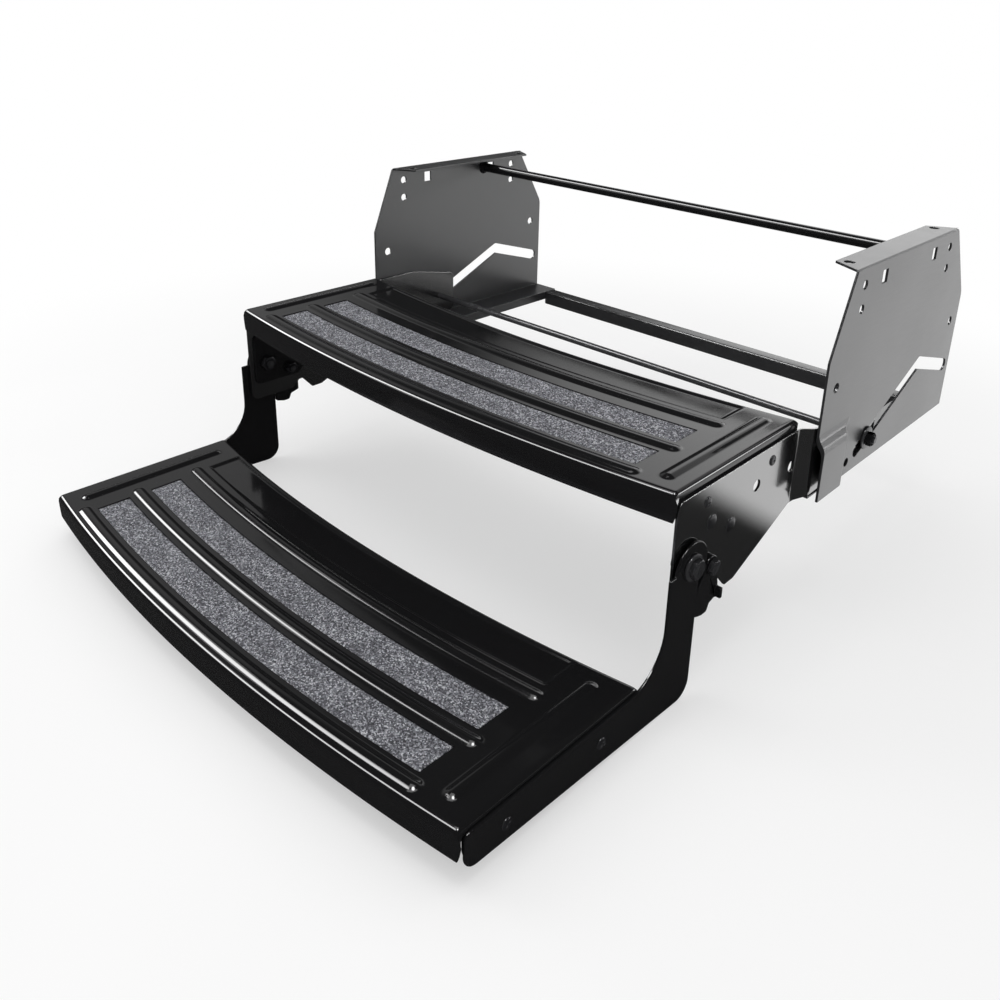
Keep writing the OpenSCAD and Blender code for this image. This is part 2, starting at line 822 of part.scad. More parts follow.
// Backing plate inside the bracket, behind the pivot and the latch
module doubler_plate() {
    front = pivot_y - pivot_d / 2 - doubler_edge;
    rear = doubler_bolts[1][0] + doubler_edge;
    low = lever_z - doubler_edge;
    x0 = doubler_x - overcut;
    x1 = bracket_x - bracket_t;
    corner_r = doubler_edge / 2;
    color([0.06, 0.06, 0.065])
        difference() {
            across(doubler_x, x1)
                polygon(rounded([
                    [front, doubler_top, corner_r], [front, low, corner_r],
                    [lever_y + doubler_edge, low, corner_r],
                    [rear, doubler_bolts[1][1] - doubler_edge, corner_r], [rear, doubler_top, corner_r]
                ]));
            for (b = doubler_bolts)
                cross_pin(x0, x1 + overcut, b[0], b[1], doubler_bolt_d + 2 * hole_gap);
            cross_pin(x0, x1 + overcut, pivot_y, pivot_z, pivot_d + 2 * hole_gap);
            cross_pin(x0, x1 + overcut, lever_y, lever_z, lever_bolt_d + 2 * hole_gap);
        }
}

module left_doubler_plate() {
    mirror([1, 0, 0]) doubler_plate();
}

module right_doubler_plate() {
    doubler_plate();
}

// Low round-headed bolts that hold the doubler to the bracket
module doubler_bolts() {
    color([0.15, 0.15, 0.16])
        pair()
            for (b = doubler_bolts) {
                cross_pin(doubler_x - nut_h, bracket_x + seat, b[0], b[1], doubler_bolt_d);
                cross_pin(bracket_x, bracket_x + low_head, b[0], b[1], washer_ratio * doubler_bolt_d);
            }
}

module doubler_nuts() {
    color([0.15, 0.15, 0.16])
        pair()
            for (b = doubler_bolts)
                hex_nut(doubler_x - nut_h + bolt_proud, b[0], b[1], doubler_bolt_d, nut_h - bolt_proud);
}

module pivot_bolts() {
    color([0.18, 0.18, 0.19])
        pair() {
            cross_pin(doubler_x - nut_h - bolt_proud, pivot_head_x + seat, pivot_y, pivot_z, pivot_d);
            translate([pivot_head_x, pivot_y, pivot_z])
                rotate([0, 90, 0])
                    cylinder(h = bolt_head_h, d = hex_ratio * pivot_d, $fn = 6);
        }
}

// Ring along X around the pivot bolt
module pivot_ring(x0, x1, outer_d, bore_d) {
    difference() {
        cross_pin(x0, x1, pivot_y, pivot_z, outer_d);
        cross_pin(x0 - overcut, x1 + overcut, pivot_y, pivot_z, bore_d);
    }
}

// Spacers that hold the arms clear of the brackets
module pivot_spacers() {
    color([0.15, 0.15, 0.16])
        pair() pivot_ring(bracket_x, bracket_x + washer_t, washer_ratio * pivot_d, pivot_d + 2 * hole_gap);
}

module pivot_washers() {
    color([0.15, 0.15, 0.16])
        pair() pivot_ring(pivot_washer_x, pivot_head_x, washer_ratio * pivot_d, pivot_d + 2 * hole_gap);
}

module pivot_nuts() {
    color([0.15, 0.15, 0.16])
        pair() hex_nut(doubler_x - nut_h, pivot_y, pivot_z, pivot_d, nut_h);
}

// Shoulder bolts that the latch levers swing on
module latch_bolts() {
    color([0.18, 0.18, 0.19])
        pair() {
            cross_pin(doubler_x - nut_h - bolt_proud, lever_head_x + seat, lever_y, lever_z, lever_bolt_d);
            translate([lever_head_x, lever_y, lever_z])
                rotate([0, 90, 0])
                    cylinder(h = bolt_head_h, d = hex_ratio * lever_bolt_d, $fn = 6);
        }
}

module latch_nuts() {
    color([0.15, 0.15, 0.16])
        pair() hex_nut(doubler_x - nut_h, lever_y, lever_z, lever_bolt_d, nut_h);
}

// Hanging lever whose nose stands behind the lower arm
module latch_lever() {
    nose = pivot_y + arm_rear + lever_gap;
    low = lever_z - lever_len;
    color([0.05, 0.05, 0.055])
        difference() {
            union() {
                across(lever_x, lever_x + lever_t) {
                    polygon(rounded([
                        [lever_y - lever_half, lever_z, 0], [nose, lever_z - lever_rear, lever_r],
                        [nose, low + lever_r, lever_r], [lever_y - lever_half, low, lever_r],
                        [lever_y, low, lever_r], [lever_y + lever_r, low + lever_step, lever_r / 2],
                        [lever_y + lever_rear, low + lever_step + lever_r, lever_r],
                        [lever_y + lever_rear, lever_z - lever_len / 2, lever_r],
                        [lever_y + lever_half, lever_z, 0]
                    ]));
                    translate([lever_y, lever_z]) circle(d = washer_ratio * lever_bolt_d);
                }
                translate([lever_x, lever_y + lever_rear - lever_t, low + tab_h])
                    cube([tab_reach, lever_t, tab_h]);
            }
            cross_pin(
                lever_x - overcut, lever_x + lever_t + overcut,
                lever_y, lever_z, lever_bolt_d + 2 * run_gap
            );
        }
}

module left_latch_lever() {
    mirror([1, 0, 0]) latch_lever();
}

module right_latch_lever() {
    latch_lever();
}

module lower_tread() {
    color([0.05, 0.05, 0.055]) at_lower() tread_pan(arm_x, lower_half);
}

module lower_front_grit_strip() {
    at_lower() grit_strip(front_strip_at);
}

module lower_rear_grit_strip() {
    at_lower() grit_strip(rear_strip_at);
}

module lower_tread_rivets() {
    color([0.2, 0.2, 0.2]) at_lower() tread_rivets(lower_half, arm_t + tread_t);
}

// Side outline of a lower arm: a side plate along the tread that sweeps up to the pivot
module arm_outline() {
    top = lower_z - tread_bend;
    front = lower_y + bow(bracket_x) + tread_t + arm_slit;
    rear = pivot_y + arm_rear;
    column = rear - arm_w;
    polygon(rounded([
        [front, top, arm_front_r], [front, top - side_front_h, arm_toe_r],
        [rear, top - side_rear_h, arm_heel_r],
        [rear, pivot_z, 0], [column, pivot_z, 0], [column, top, arm_sweep]
    ], 10));
    translate([pivot_y, pivot_z]) circle(r = head_r);
}

module lower_arm() {
    inside = arm_x - overcut;
    outside = lower_half + overcut;
    color([0.06, 0.06, 0.065])
        difference() {
            across(arm_x, lower_half) arm_outline();
            for (y = rivet_ys())
                cross_pin(inside, outside, lower_y + y, lower_z - rivet_drop, rivet_d + 2 * hole_gap);
            cross_pin(inside, outside, pivot_y, pivot_z, bush_ratio * pivot_d);
        }
}

module left_lower_arm() {
    mirror([1, 0, 0]) lower_arm();
}

module right_lower_arm() {
    lower_arm();
}

// Plain bushes in the arms, turning on the pivot bolts
module pivot_bushes() {
    color("darkgoldenrod")
        pair() pivot_ring(arm_x, lower_half, bush_ratio * pivot_d - 2 * run_gap, pivot_d + 2 * run_gap);
}

left_hanger_plate();
right_hanger_plate();
top_cross_rod();
rear_cross_bar();
upper_tread();
upper_front_grit_strip();
upper_rear_grit_strip();
left_carriage_bracket();
right_carriage_bracket();
upper_tread_rivets();
guide_rod();
guide_rollers();
guide_washers();
guide_nuts();
left_doubler_plate();
right_doubler_plate();
doubler_bolts();
doubler_nuts();
pivot_bolts();
pivot_spacers();
pivot_washers();
pivot_nuts();
latch_bolts();
latch_nuts();
lower_tread();
lower_front_grit_strip();
lower_rear_grit_strip();
left_lower_arm();
right_lower_arm();
lower_tread_rivets();
pivot_bushes();
left_latch_lever();
right_latch_lever();
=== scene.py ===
"""Looks of a two-tread pull-out step for a caravan doorway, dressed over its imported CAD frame."""
from __future__ import annotations

import json
import logging
import math
from dataclasses import dataclass, field
from enum import Enum
from typing import Any, Callable, Iterable, Sequence, Union

import bpy
import numpy as np
from mathutils import Matrix, Vector

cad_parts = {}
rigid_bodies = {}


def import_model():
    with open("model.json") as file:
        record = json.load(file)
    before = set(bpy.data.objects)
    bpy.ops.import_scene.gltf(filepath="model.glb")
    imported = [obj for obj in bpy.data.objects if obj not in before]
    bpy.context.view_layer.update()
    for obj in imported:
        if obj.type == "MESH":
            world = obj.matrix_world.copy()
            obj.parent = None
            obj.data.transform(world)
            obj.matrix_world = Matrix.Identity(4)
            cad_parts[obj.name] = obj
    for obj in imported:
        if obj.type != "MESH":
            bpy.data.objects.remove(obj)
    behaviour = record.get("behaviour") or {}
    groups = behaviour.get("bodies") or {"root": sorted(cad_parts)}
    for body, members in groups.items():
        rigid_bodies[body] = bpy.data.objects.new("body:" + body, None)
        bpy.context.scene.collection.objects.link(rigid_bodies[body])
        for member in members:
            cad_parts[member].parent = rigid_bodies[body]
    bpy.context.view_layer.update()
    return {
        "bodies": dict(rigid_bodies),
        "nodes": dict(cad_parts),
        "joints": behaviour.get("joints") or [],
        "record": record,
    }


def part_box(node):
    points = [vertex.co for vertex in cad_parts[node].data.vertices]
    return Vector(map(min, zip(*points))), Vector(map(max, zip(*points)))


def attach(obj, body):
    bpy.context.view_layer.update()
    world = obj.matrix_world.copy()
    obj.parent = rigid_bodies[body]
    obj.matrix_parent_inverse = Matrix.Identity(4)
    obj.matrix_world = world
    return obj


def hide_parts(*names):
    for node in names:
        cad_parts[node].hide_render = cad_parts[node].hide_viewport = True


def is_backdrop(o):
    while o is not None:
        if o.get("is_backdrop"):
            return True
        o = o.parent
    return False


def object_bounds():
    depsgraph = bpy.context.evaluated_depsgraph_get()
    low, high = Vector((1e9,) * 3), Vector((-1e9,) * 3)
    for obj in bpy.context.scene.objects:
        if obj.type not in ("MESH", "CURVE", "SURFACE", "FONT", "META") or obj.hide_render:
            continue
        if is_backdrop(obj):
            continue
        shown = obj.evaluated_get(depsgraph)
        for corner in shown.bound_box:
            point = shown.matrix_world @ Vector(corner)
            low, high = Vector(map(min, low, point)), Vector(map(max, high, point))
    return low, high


LOG = logging.getLogger("pull_out_step")
MM = 0.001
HAIR = 0.01 * MM
MERGE_GAP = 2e-6
SEAM_GAP = 1e-6
NORMAL_GAP = 2e-6
QUARTER = math.pi / 2
FLAT_TURN = math.radians(0.5)
EDGE_STEPS = 2
BEND_STEPS = 5

Number = Union[int, float]
Colour = tuple[float, float, float]
Point = tuple[float, float, float]
Lengths = Union[float, np.ndarray]
Profile = list[tuple[float, float]]

WHITE: Colour = (1.0, 1.0, 1.0)


class Side(Enum):
    """The two sides of the step, by the sign of X."""

    LEFT = -1
    RIGHT = 1

    @property
    def label(self) -> str:
        """Word that starts the side's piece names."""
        return self.name.lower()


class Body(Enum):
    """Moving groups of the step."""

    FRAME = "frame"
    CARRIAGE = "carriage"
    LOWER = "lower_step"
    LEFT_LATCH = "left_latch"
    RIGHT_LATCH = "right_latch"


class Slot(Enum):
    """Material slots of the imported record."""

    FRAME_PAINT = "frame_paint"
    BLACK_PAINT = "black_paint"
    HARDWARE = "hardware"
    BUSH = "bush"
    GRIT = "grit"


class Element(Enum):
    """Kinds of mesh element that an edit selects."""

    VERTEX = "VERT"
    EDGE = "EDGE"
    FACE = "FACE"


class Cut(Enum):
    """What a cutting shape leaves of a piece."""

    INSIDE = "INTERSECT"
    OUTSIDE = "DIFFERENCE"


class Value:
    """A shader socket that takes part in Python arithmetic by adding Math nodes."""

    def __init__(self, shader: "Shader", socket: bpy.types.NodeSocket) -> None:
        """Wraps an output socket of a node in a shader's tree."""
        self.shader = shader
        self.socket = socket

    def _math(self, operation: str, first: Any, second: Any = None) -> "Value":
        """Adds one Math node for an operation on one or two numbers or values."""
        inputs = {0: first} if second is None else {0: first, 1: second}
        return self.shader.node("ShaderNodeMath", {"operation": operation}, inputs)

    def __add__(self, other: Any) -> "Value":
        """Sum."""
        return self._math("ADD", self, other)

    __radd__ = __add__

    def __sub__(self, other: Any) -> "Value":
        """Difference."""
        return self._math("SUBTRACT", self, other)

    def __rsub__(self, other: Any) -> "Value":
        """Difference from a number."""
        return self._math("SUBTRACT", other, self)

    def __mul__(self, other: Any) -> "Value":
        """Product."""
        return self._math("MULTIPLY", self, other)

    __rmul__ = __mul__

    def __pow__(self, other: Any) -> "Value":
        """Power."""
        return self._math("POWER", self, other)

    def above(self, limit: Number) -> "Value":
        """One where the value is over a limit, and nought elsewhere."""
        return self._math("GREATER_THAN", self, limit)

    def spread(self, low: Number, high: Number, to_low: Number = 0.0, to_high: Number = 1.0) -> "Value":
        """Maps a range of the value smoothly to another range."""
        return self.shader.node(
            "ShaderNodeMapRange",
            {"interpolation_type": "SMOOTHSTEP"},
            {"Value": self, "From Min": low, "From Max": high, "To Min": to_low, "To Max": to_high},
        )


class Shader:
    """Builds the node tree of one material or of the world."""

    def __init__(self, owner: bpy.types.Material | bpy.types.World) -> None:
        """Starts with an empty tree.

        Args:
            owner: Material or world that the tree belongs to.
        """
        self.owner = owner
        self.owner.use_nodes = True
        self.tree = self.owner.node_tree
        self.tree.nodes.clear()

    @classmethod
    def named(cls, name: str) -> "Shader":
        """Starts a new material of a given name."""
        return cls(bpy.data.materials.new(name))

    def node(
        self,
        kind: str,
        settings: dict[str, Any] | None = None,
        inputs: dict[Any, Any] | None = None,
        output: Any = 0,
    ) -> Value:
        """Adds a node, sets it up and links its sockets.

        Args:
            kind: Type name of the node.
            settings: Attributes set first; a list of stops under "stops" fills a colour ramp.
            inputs: Numbers, colours or values by socket name or index.
            output: Name or index of the socket that is returned.

        Returns:
            The chosen output socket.
        """
        made = self.tree.nodes.new(kind)
        for key, value in (settings or {}).items():
            if key == "stops":
                self._fill_ramp(made.color_ramp, value)
            else:
                setattr(made, key, value)
        for key, value in (inputs or {}).items():
            self._feed(made.inputs[key], value)
        return Value(self, None if output is None else made.outputs[output])

    def _feed(self, socket: bpy.types.NodeSocket, value: Any) -> None:
        """Links a value to a socket, or sets a number or colour on it.

        Args:
            socket: Input socket of a node.
            value: Value that is linked, or number or colour that is set.
        """
        if isinstance(value, Value):
            self.tree.links.new(value.socket, socket)
        elif isinstance(value, tuple) and len(value) == 3 and socket.type == "RGBA":
            socket.default_value = (*value, 1.0)
        else:
            socket.default_value = value

    @staticmethod
    def _fill_ramp(ramp: bpy.types.ColorRamp, stops: Sequence[tuple[float, Colour]]) -> None:
        """Gives a colour ramp its stops, as places and colours.

        Args:
            ramp: Ramp of a node.
            stops: Places from nought to one, and colours.
        """
        while len(ramp.elements) < len(stops):
            ramp.elements.new(1.0)
        for element, (place, colour) in zip(ramp.elements, stops):
            element.position = place
            element.color = (*colour, 1.0)

    def place(self, stretch: Point = (1.0, 1.0, 1.0)) -> Value:
        """Object coordinates in metres, stretched along the axes."""
        coords = self.node("ShaderNodeTexCoord", output="Object")
        return self.node("ShaderNodeMapping", {}, {"Vector": coords, "Scale": stretch})

    def noise(self, where: Value, scale: Number, detail: Number = 2.0) -> Value:
        """Noise from nought to one, in waves to a metre and octaves of detail."""
        return self.node("ShaderNodeTexNoise", {}, {"Vector": where, "Scale": scale, "Detail": detail})

    def mix(self, share: Any, first: Any, second: Any) -> Value:
        """Mixes two colours by the share of the second."""
        return self.node("ShaderNodeMix", {"data_type": "RGBA"}, {0: share, 6: first, 7: second}, 2)

    def bump(self, height: Value, depth: Number) -> Value:
        """Bumped normal from a height of nought to one and its depth in metres."""
        return self.node("ShaderNodeBump", {}, {"Height": height, "Distance": depth, "Strength": 1.0})

    def vector(self, operation: str, first: Value, second: Any) -> Value:
        """Number from two vectors, by the name of a Vector Math operation."""
        return self.node("ShaderNodeVectorMath", {"operation": operation}, {0: first, 1: second}, "Value")

    def ray(self, question: str) -> Value:
        """Answer of the Light Path node, by the name of its socket."""
        return self.node("ShaderNodeLightPath", output=question)

    def worn_edges(self, low: Number, high: Number, most: Number) -> Value:
        """Share of wear on outer edges, nought at a low Pointiness and the most at a high one."""
        return self.node("ShaderNodeNewGeometry", output="Pointiness").spread(low, high, 0.0, most)

    def close(self, **inputs: Any) -> bpy.types.Material:
        """Ends the tree in a Principled shader.

        Args:
            inputs: Values of the shader's sockets, with underscores for spaces.

        Returns:
            The finished material.
        """
        named = {key.replace("_", " "): value for key, value in inputs.items()}
        self.end(self.node("ShaderNodeBsdfPrincipled", {}, named))
        return self.owner

    def end(self, surface: Value) -> None:
        """Links a surface to the output of the material or world."""
        owner = "World" if isinstance(self.owner, bpy.types.World) else "Material"
        self.node(f"ShaderNodeOutput{owner}", {}, {"Surface": surface}, None)


@dataclass(frozen=True)
class GlossPaint:
    """Black gloss enamel with a little orange peel and faint dust. Waves are to a metre."""

    name: str = "gloss_black_paint"
    colour: Colour = (0.0085, 0.0085, 0.009)
    worn: Colour = (0.045, 0.045, 0.048)
    dust: Colour = (0.08, 0.08, 0.085)
    dust_share: float = 0.05
    roughness: float = 0.10
    specular: float = 0.45
    coat: float = 0.3
    coat_roughness: float = 0.06
    peel_waves: float = 170.0
    peel_depth: float = 0.000006
    cloud_waves: float = 16.0
    dust_waves: float = 2600.0

    def make(self) -> bpy.types.Material:
        """Builds the material.

        Returns:
            The material.
        """
        shader = Shader.named(self.name)
        where = shader.place()
        peel = shader.noise(where, self.peel_waves, 1.0)
        cloud = shader.noise(where, self.cloud_waves, 4.0)
        dust = shader.noise(where, self.dust_waves, 1.0).spread(0.66, 0.78)
        colour = shader.mix(shader.worn_edges(0.58, 0.70, 0.7), self.colour, self.worn)
        rough = cloud.spread(0.3, 0.75, self.roughness - 0.03, self.roughness + 0.06)
        return shader.close(
            Base_Color=shader.mix(dust * self.dust_share, colour, self.dust),
            Roughness=rough + dust * 0.03,
            Specular_IOR_Level=self.specular,
            Coat_Weight=self.coat,
            Coat_Roughness=self.coat_roughness,
            Normal=shader.bump(peel, self.peel_depth),
        )


@dataclass(frozen=True)
class SatinPaint:
    """Dark satin finish of the plates and brackets, with a fine metallic grain. Waves are to a metre."""

    name: str = "satin_graphite_paint"
    colour: Colour = (0.030, 0.0305, 0.032)
    dark: Colour = (0.022, 0.0225, 0.024)
    specular: float = 1.0
    coat: float = 0.6
    roughness: float = 0.32
    refraction: float = 1.5
    drawn_waves: Point = (40.0, 40.0, 900.0)
    drawn_share: float = 0.08
    cloud_waves: float = 9.0
    grain_waves: float = 1500.0
    grain_depth: float = 0.00002

    def make(self) -> bpy.types.Material:
        """Builds the material.

        Returns:
            The material.
        """
        shader = Shader.named(self.name)
        where = shader.place()
        drawn = shader.noise(shader.place(self.drawn_waves), 1.0, 3.0)
        cloud = shader.noise(where, self.cloud_waves, 3.0)
        grain = shader.noise(where, self.grain_waves, 2.0)
        rough = cloud.spread(0.3, 0.7, self.roughness - 0.03, self.roughness + 0.04)
        return shader.close(
            Base_Color=shader.mix(cloud.spread(0.3, 0.7), self.dark, self.colour),
            Roughness=rough + (drawn - 0.5) * self.drawn_share,
            IOR=self.refraction,
            Specular_IOR_Level=self.specular,
            Coat_Weight=self.coat,
            Coat_Roughness=self.roughness - 0.06,
            Normal=shader.bump(grain, self.grain_depth),
        )


@dataclass(frozen=True)
class BlackZinc:
    """Blackened plating of the bolts, nuts and washers. Waves are to a metre."""

    name: str = "black_zinc"
    colour: Colour = (0.045, 0.045, 0.048)
    dark: Colour = (0.016, 0.016, 0.018)
    worn: Colour = (0.14, 0.14, 0.145)
    metallic: float = 0.35
    roughness: float = 0.2
    cloud_waves: float = 36.0
    grain_waves: float = 2400.0
    grain_depth: float = 0.000005

    def make(self) -> bpy.types.Material:
        """Builds the material.

        Returns:
            The material.
        """
        shader = Shader.named(self.name)
        where = shader.place()
        cloud = shader.noise(where, self.cloud_waves, 3.0)
        grain = shader.noise(where, self.grain_waves, 2.0)
        colour = shader.mix(cloud.spread(0.35, 0.7), self.dark, self.colour)
        return shader.close(
            Base_Color=shader.mix(shader.worn_edges(0.52, 0.62, 0.7), colour, self.worn),
            Metallic=self.metallic,
            Roughness=cloud.spread(0.3, 0.7, self.roughness - 0.06, self.roughness + 0.1),
            Normal=shader.bump(grain, self.grain_depth),
        )


@dataclass(frozen=True)
class Bronze:
    """Oil-filled sintered bushes, dark brown and pitted. Waves are to a metre."""

    name: str = "sintered_bush"
    colour: Colour = (0.14, 0.085, 0.045)
    dark: Colour = (0.05, 0.032, 0.02)
    metallic: float = 0.8
    roughness: tuple[float, float] = (0.55, 0.38)
    pore_waves: float = 3200.0
    pore_depth: float = 0.00004

    def make(self) -> bpy.types.Material:
        """Builds the material.

        Returns:
            The material.
        """
        shader = Shader.named(self.name)
        pores = shader.noise(shader.place(), self.pore_waves, 2.0).spread(0.35, 0.6)
        return shader.close(
            Base_Color=shader.mix(pores, self.dark, self.colour),
            Metallic=self.metallic,
            Roughness=pores.spread(0.0, 1.0, *self.roughness),
            Normal=shader.bump(pores, self.pore_depth),
        )


@dataclass(frozen=True)
class Grit:
    """Mineral grit in black binder, speckled from close by and grey from afar. Waves are to a metre."""

    name: str = "anti_slip_grit"
    tones: tuple[tuple[float, Colour], ...] = (
        (0.0, (0.016, 0.016, 0.020)),
        (0.30, (0.048, 0.049, 0.058)),
        (0.60, (0.125, 0.128, 0.145)),
        (0.85, (0.27, 0.275, 0.30)),
        (1.0, (0.56, 0.565, 0.59)),
    )
    specular: float = 0.5
    grain_waves: float = 900.0
    grain_depth: float = 0.0005
    fine_waves: float = 2100.0
    patch_waves: float = 60.0

    def make(self) -> bpy.types.Material:
        """Builds the material.

        Returns:
            The material.
        """
        shader = Shader.named(self.name)
        where = shader.place()
        cells = {"feature": "F1", "voronoi_dimensions": "3D"}
        tone, core = (
            shader.node("ShaderNodeTexVoronoi", cells, {"Vector": where, "Scale": self.grain_waves}, output)
            for output in ("Color", "Distance")
        )
        shade = shader.node("ShaderNodeSeparateColor", {}, {"Color": tone}, 0)
        fine = shader.noise(where, self.fine_waves, 2.0)
        patch = shader.noise(where, self.patch_waves, 3.0)
        level = shade + (fine - 0.5) * 0.5 + (patch - 0.5) * 0.3
        spark = shade.above(0.93)
        return shader.close(
            Base_Color=shader.node("ShaderNodeValToRGB", {"stops": self.tones}, {"Fac": level}),
            Roughness=level.spread(0.1, 0.9, 0.85, 0.5) - spark * 0.2,
            Specular_IOR_Level=self.specular,
            Normal=shader.bump((1 - core) * 0.7 + fine * 0.3, self.grain_depth),
        )


class Finishes:
    """The step's materials, made once."""

    def __init__(self) -> None:
        """Builds one material for each slot."""
        self.by_slot: dict[Slot, bpy.types.Material] = {
            Slot.BLACK_PAINT: GlossPaint().make(),
            Slot.FRAME_PAINT: SatinPaint().make(),
            Slot.HARDWARE: BlackZinc().make(),
            Slot.BUSH: Bronze().make(),
            Slot.GRIT: Grit().make(),
        }
        self.slide = SatinPaint(
            "slide_satin_paint",
            colour=(0.010, 0.0102, 0.0105),
            dark=(0.007, 0.0072, 0.0075),
            coat=1.0,
            roughness=0.14,
            refraction=2.3,
        ).make()

    def dress(self, piece: bpy.types.Object, slot: Slot, finish: bpy.types.Material | None = None) -> None:
        """Gives a piece the finish of its slot, or another one in its place."""
        piece.data.materials.clear()
        piece.data.materials.append(finish or self.by_slot[slot])


@dataclass(frozen=True)
class Box:
    """Lowest and highest corner of something, in metres."""

    low: Vector
    high: Vector

    @property
    def middle(self) -> Vector:
        """Middle point."""
        return (self.low + self.high) / 2

    @property
    def size(self) -> Vector:
        """Length of each side."""
        return self.high - self.low


class Bench:
    """Modelling moves that the pieces share."""

    @staticmethod
    def clear_selection() -> None:
        """Leaves edit mode and deselects every object."""
        if bpy.context.object is not None and bpy.context.object.mode != "OBJECT":
            bpy.ops.object.mode_set(mode="OBJECT")
        bpy.ops.object.select_all(action="DESELECT")

    @staticmethod
    def take(piece: bpy.types.Object) -> None:
        """Makes one object the only selected and active one.

        Args:
            piece: Object to take.
        """
        Bench.clear_selection()
        piece.select_set(True)
        bpy.context.view_layer.objects.active = piece

    @staticmethod
    def named(name: str) -> bpy.types.Object:
        """Names the object that an operator has just added.

        Args:
            name: Name of the piece.

        Returns:
            The object.
        """
        piece = bpy.context.object
        piece.name = name
        piece.data.name = name
        return piece

    @staticmethod
    def edit(piece: bpy.types.Object, kind: Element = Element.FACE, everything: bool = True) -> None:
        """Opens a piece in edit mode.

        Args:
            piece: Object to edit.
            kind: Kind of element that is selected.
            everything: Whether all of the piece is selected, or nothing.
        """
        Bench.take(piece)
        bpy.ops.object.mode_set(mode="EDIT")
        bpy.ops.mesh.select_mode(type=kind.value)
        bpy.ops.mesh.select_all(action="SELECT" if everything else "DESELECT")

    @staticmethod
    def pick(piece: bpy.types.Object, kind: Element, test: Callable[[Any], bool]) -> None:
        """Opens a piece in edit mode with the chosen edges or faces selected.

        Args:
            piece: Object to edit.
            kind: Edges or faces.
            test: Says of an edge or a face whether it is taken.
        """
        Bench.edit(piece, kind, everything=False)
        bpy.ops.object.mode_set(mode="OBJECT")
        for element in piece.data.edges if kind is Element.EDGE else piece.data.polygons:
            element.select = bool(test(element))
        bpy.ops.object.mode_set(mode="EDIT")

    @staticmethod
    def ends(piece: bpy.types.Object, edge: bpy.types.MeshEdge) -> list[Vector]:
        """Both ends of an edge."""
        return [piece.data.vertices[index].co for index in edge.vertices]

    @staticmethod
    def round_edges(piece: bpy.types.Object, width: float, test: Callable[[Any], bool]) -> None:
        """Gives the chosen edges of a piece a bend radius.

        Args:
            piece: Object to change.
            width: Width of the bend on each side of the edge, in metres.
            test: Says of an edge whether it is taken.
        """
        Bench.pick(piece, Element.EDGE, test)
        bpy.ops.mesh.bevel(offset=width, segments=BEND_STEPS, clamp_overlap=False)
        bpy.ops.object.mode_set(mode="OBJECT")

    @staticmethod
    def face_out(piece: bpy.types.Object) -> None:
        """Turns every face of a closed piece outward.

        Args:
            piece: Object to change.
        """
        Bench.edit(piece)
        bpy.ops.mesh.normals_make_consistent(inside=False)
        bpy.ops.object.mode_set(mode="OBJECT")

    @staticmethod
    def grid(name: str, columns: int, rows: int) -> bpy.types.Object:
        """Adds a flat grid, one metre square.

        Args:
            name: Name of the piece.
            columns: Cells across.
            rows: Cells along.

        Returns:
            The grid.
        """
        Bench.clear_selection()
        bpy.ops.mesh.primitive_grid_add(x_subdivisions=columns, y_subdivisions=rows, size=1.0)
        return Bench.named(name)

    @staticmethod
    def finish(piece: bpy.types.Object, angle: float, flat_faces: bool = False) -> bpy.types.Object:
        """Applies the piece's place and shades it smooth up to an angle.

        Args:
            piece: Object to finish.
            angle: Largest angle between faces that is shaded smooth, in degrees.
            flat_faces: Whether large flat faces keep their own normals.

        Returns:
            The same object.
        """
        Bench.take(piece)
        bpy.ops.object.transform_apply(location=True, rotation=True, scale=True)
        bpy.ops.object.shade_smooth_by_angle(angle=math.radians(angle))
        if flat_faces:
            Bench.apply(
                piece, "WEIGHTED_NORMAL", mode="FACE_AREA", weight=100, thresh=NORMAL_GAP, keep_sharp=True
            )
        return piece

    @staticmethod
    def apply(piece: bpy.types.Object, kind: str, **settings: Any) -> None:
        """Adds a modifier and applies it.

        Args:
            piece: Object to change.
            kind: Type of the modifier.
            settings: Attributes of the modifier.
        """
        Bench.take(piece)
        modifier = piece.modifiers.new(kind.lower(), kind)
        for key, value in settings.items():
            setattr(modifier, key, value)
        bpy.ops.object.modifier_apply(modifier=modifier.name)

    @staticmethod
    def soften(piece: bpy.types.Object, width: float, angle: float) -> None:
        """Rounds the edges that turn by more than an angle in degrees, by a width in metres."""
        Bench.apply(
            piece,
            "BEVEL",
            width=width,
            segments=EDGE_STEPS,
            limit_method="ANGLE",
            angle_limit=math.radians(angle),
            use_clamp_overlap=False,
            miter_outer="MITER_ARC",
        )

    @staticmethod
    def join(pieces: Sequence[bpy.types.Object], name: str) -> bpy.types.Object:
        """Joins solids into one piece.

        Args:
            pieces: Objects to join.
            name: Name of the piece.

        Returns:
            The joined object.
        """
        Bench.clear_selection()
        for piece in pieces:
            piece.select_set(True)
        bpy.context.view_layer.objects.active = pieces[0]
        if len(pieces) > 1:
            bpy.ops.object.join()
        return Bench.named(name)

    @staticmethod
    def copy(piece: bpy.types.Object) -> bpy.types.Object:
        """Copies a piece with a mesh of its own.

        Args:
            piece: Object to copy.

        Returns:
            The copy.
        """
        twin = piece.copy()
        twin.data = piece.data.copy()
        bpy.context.scene.collection.objects.link(twin)
        return twin

    @staticmethod
    def drop(piece: bpy.types.Object) -> None:
        """Removes a pattern object that was only copied from.

        Args:
            piece: Object to remove.
        """
        mesh = piece.data
        bpy.data.objects.remove(piece)
        bpy.data.meshes.remove(mesh)


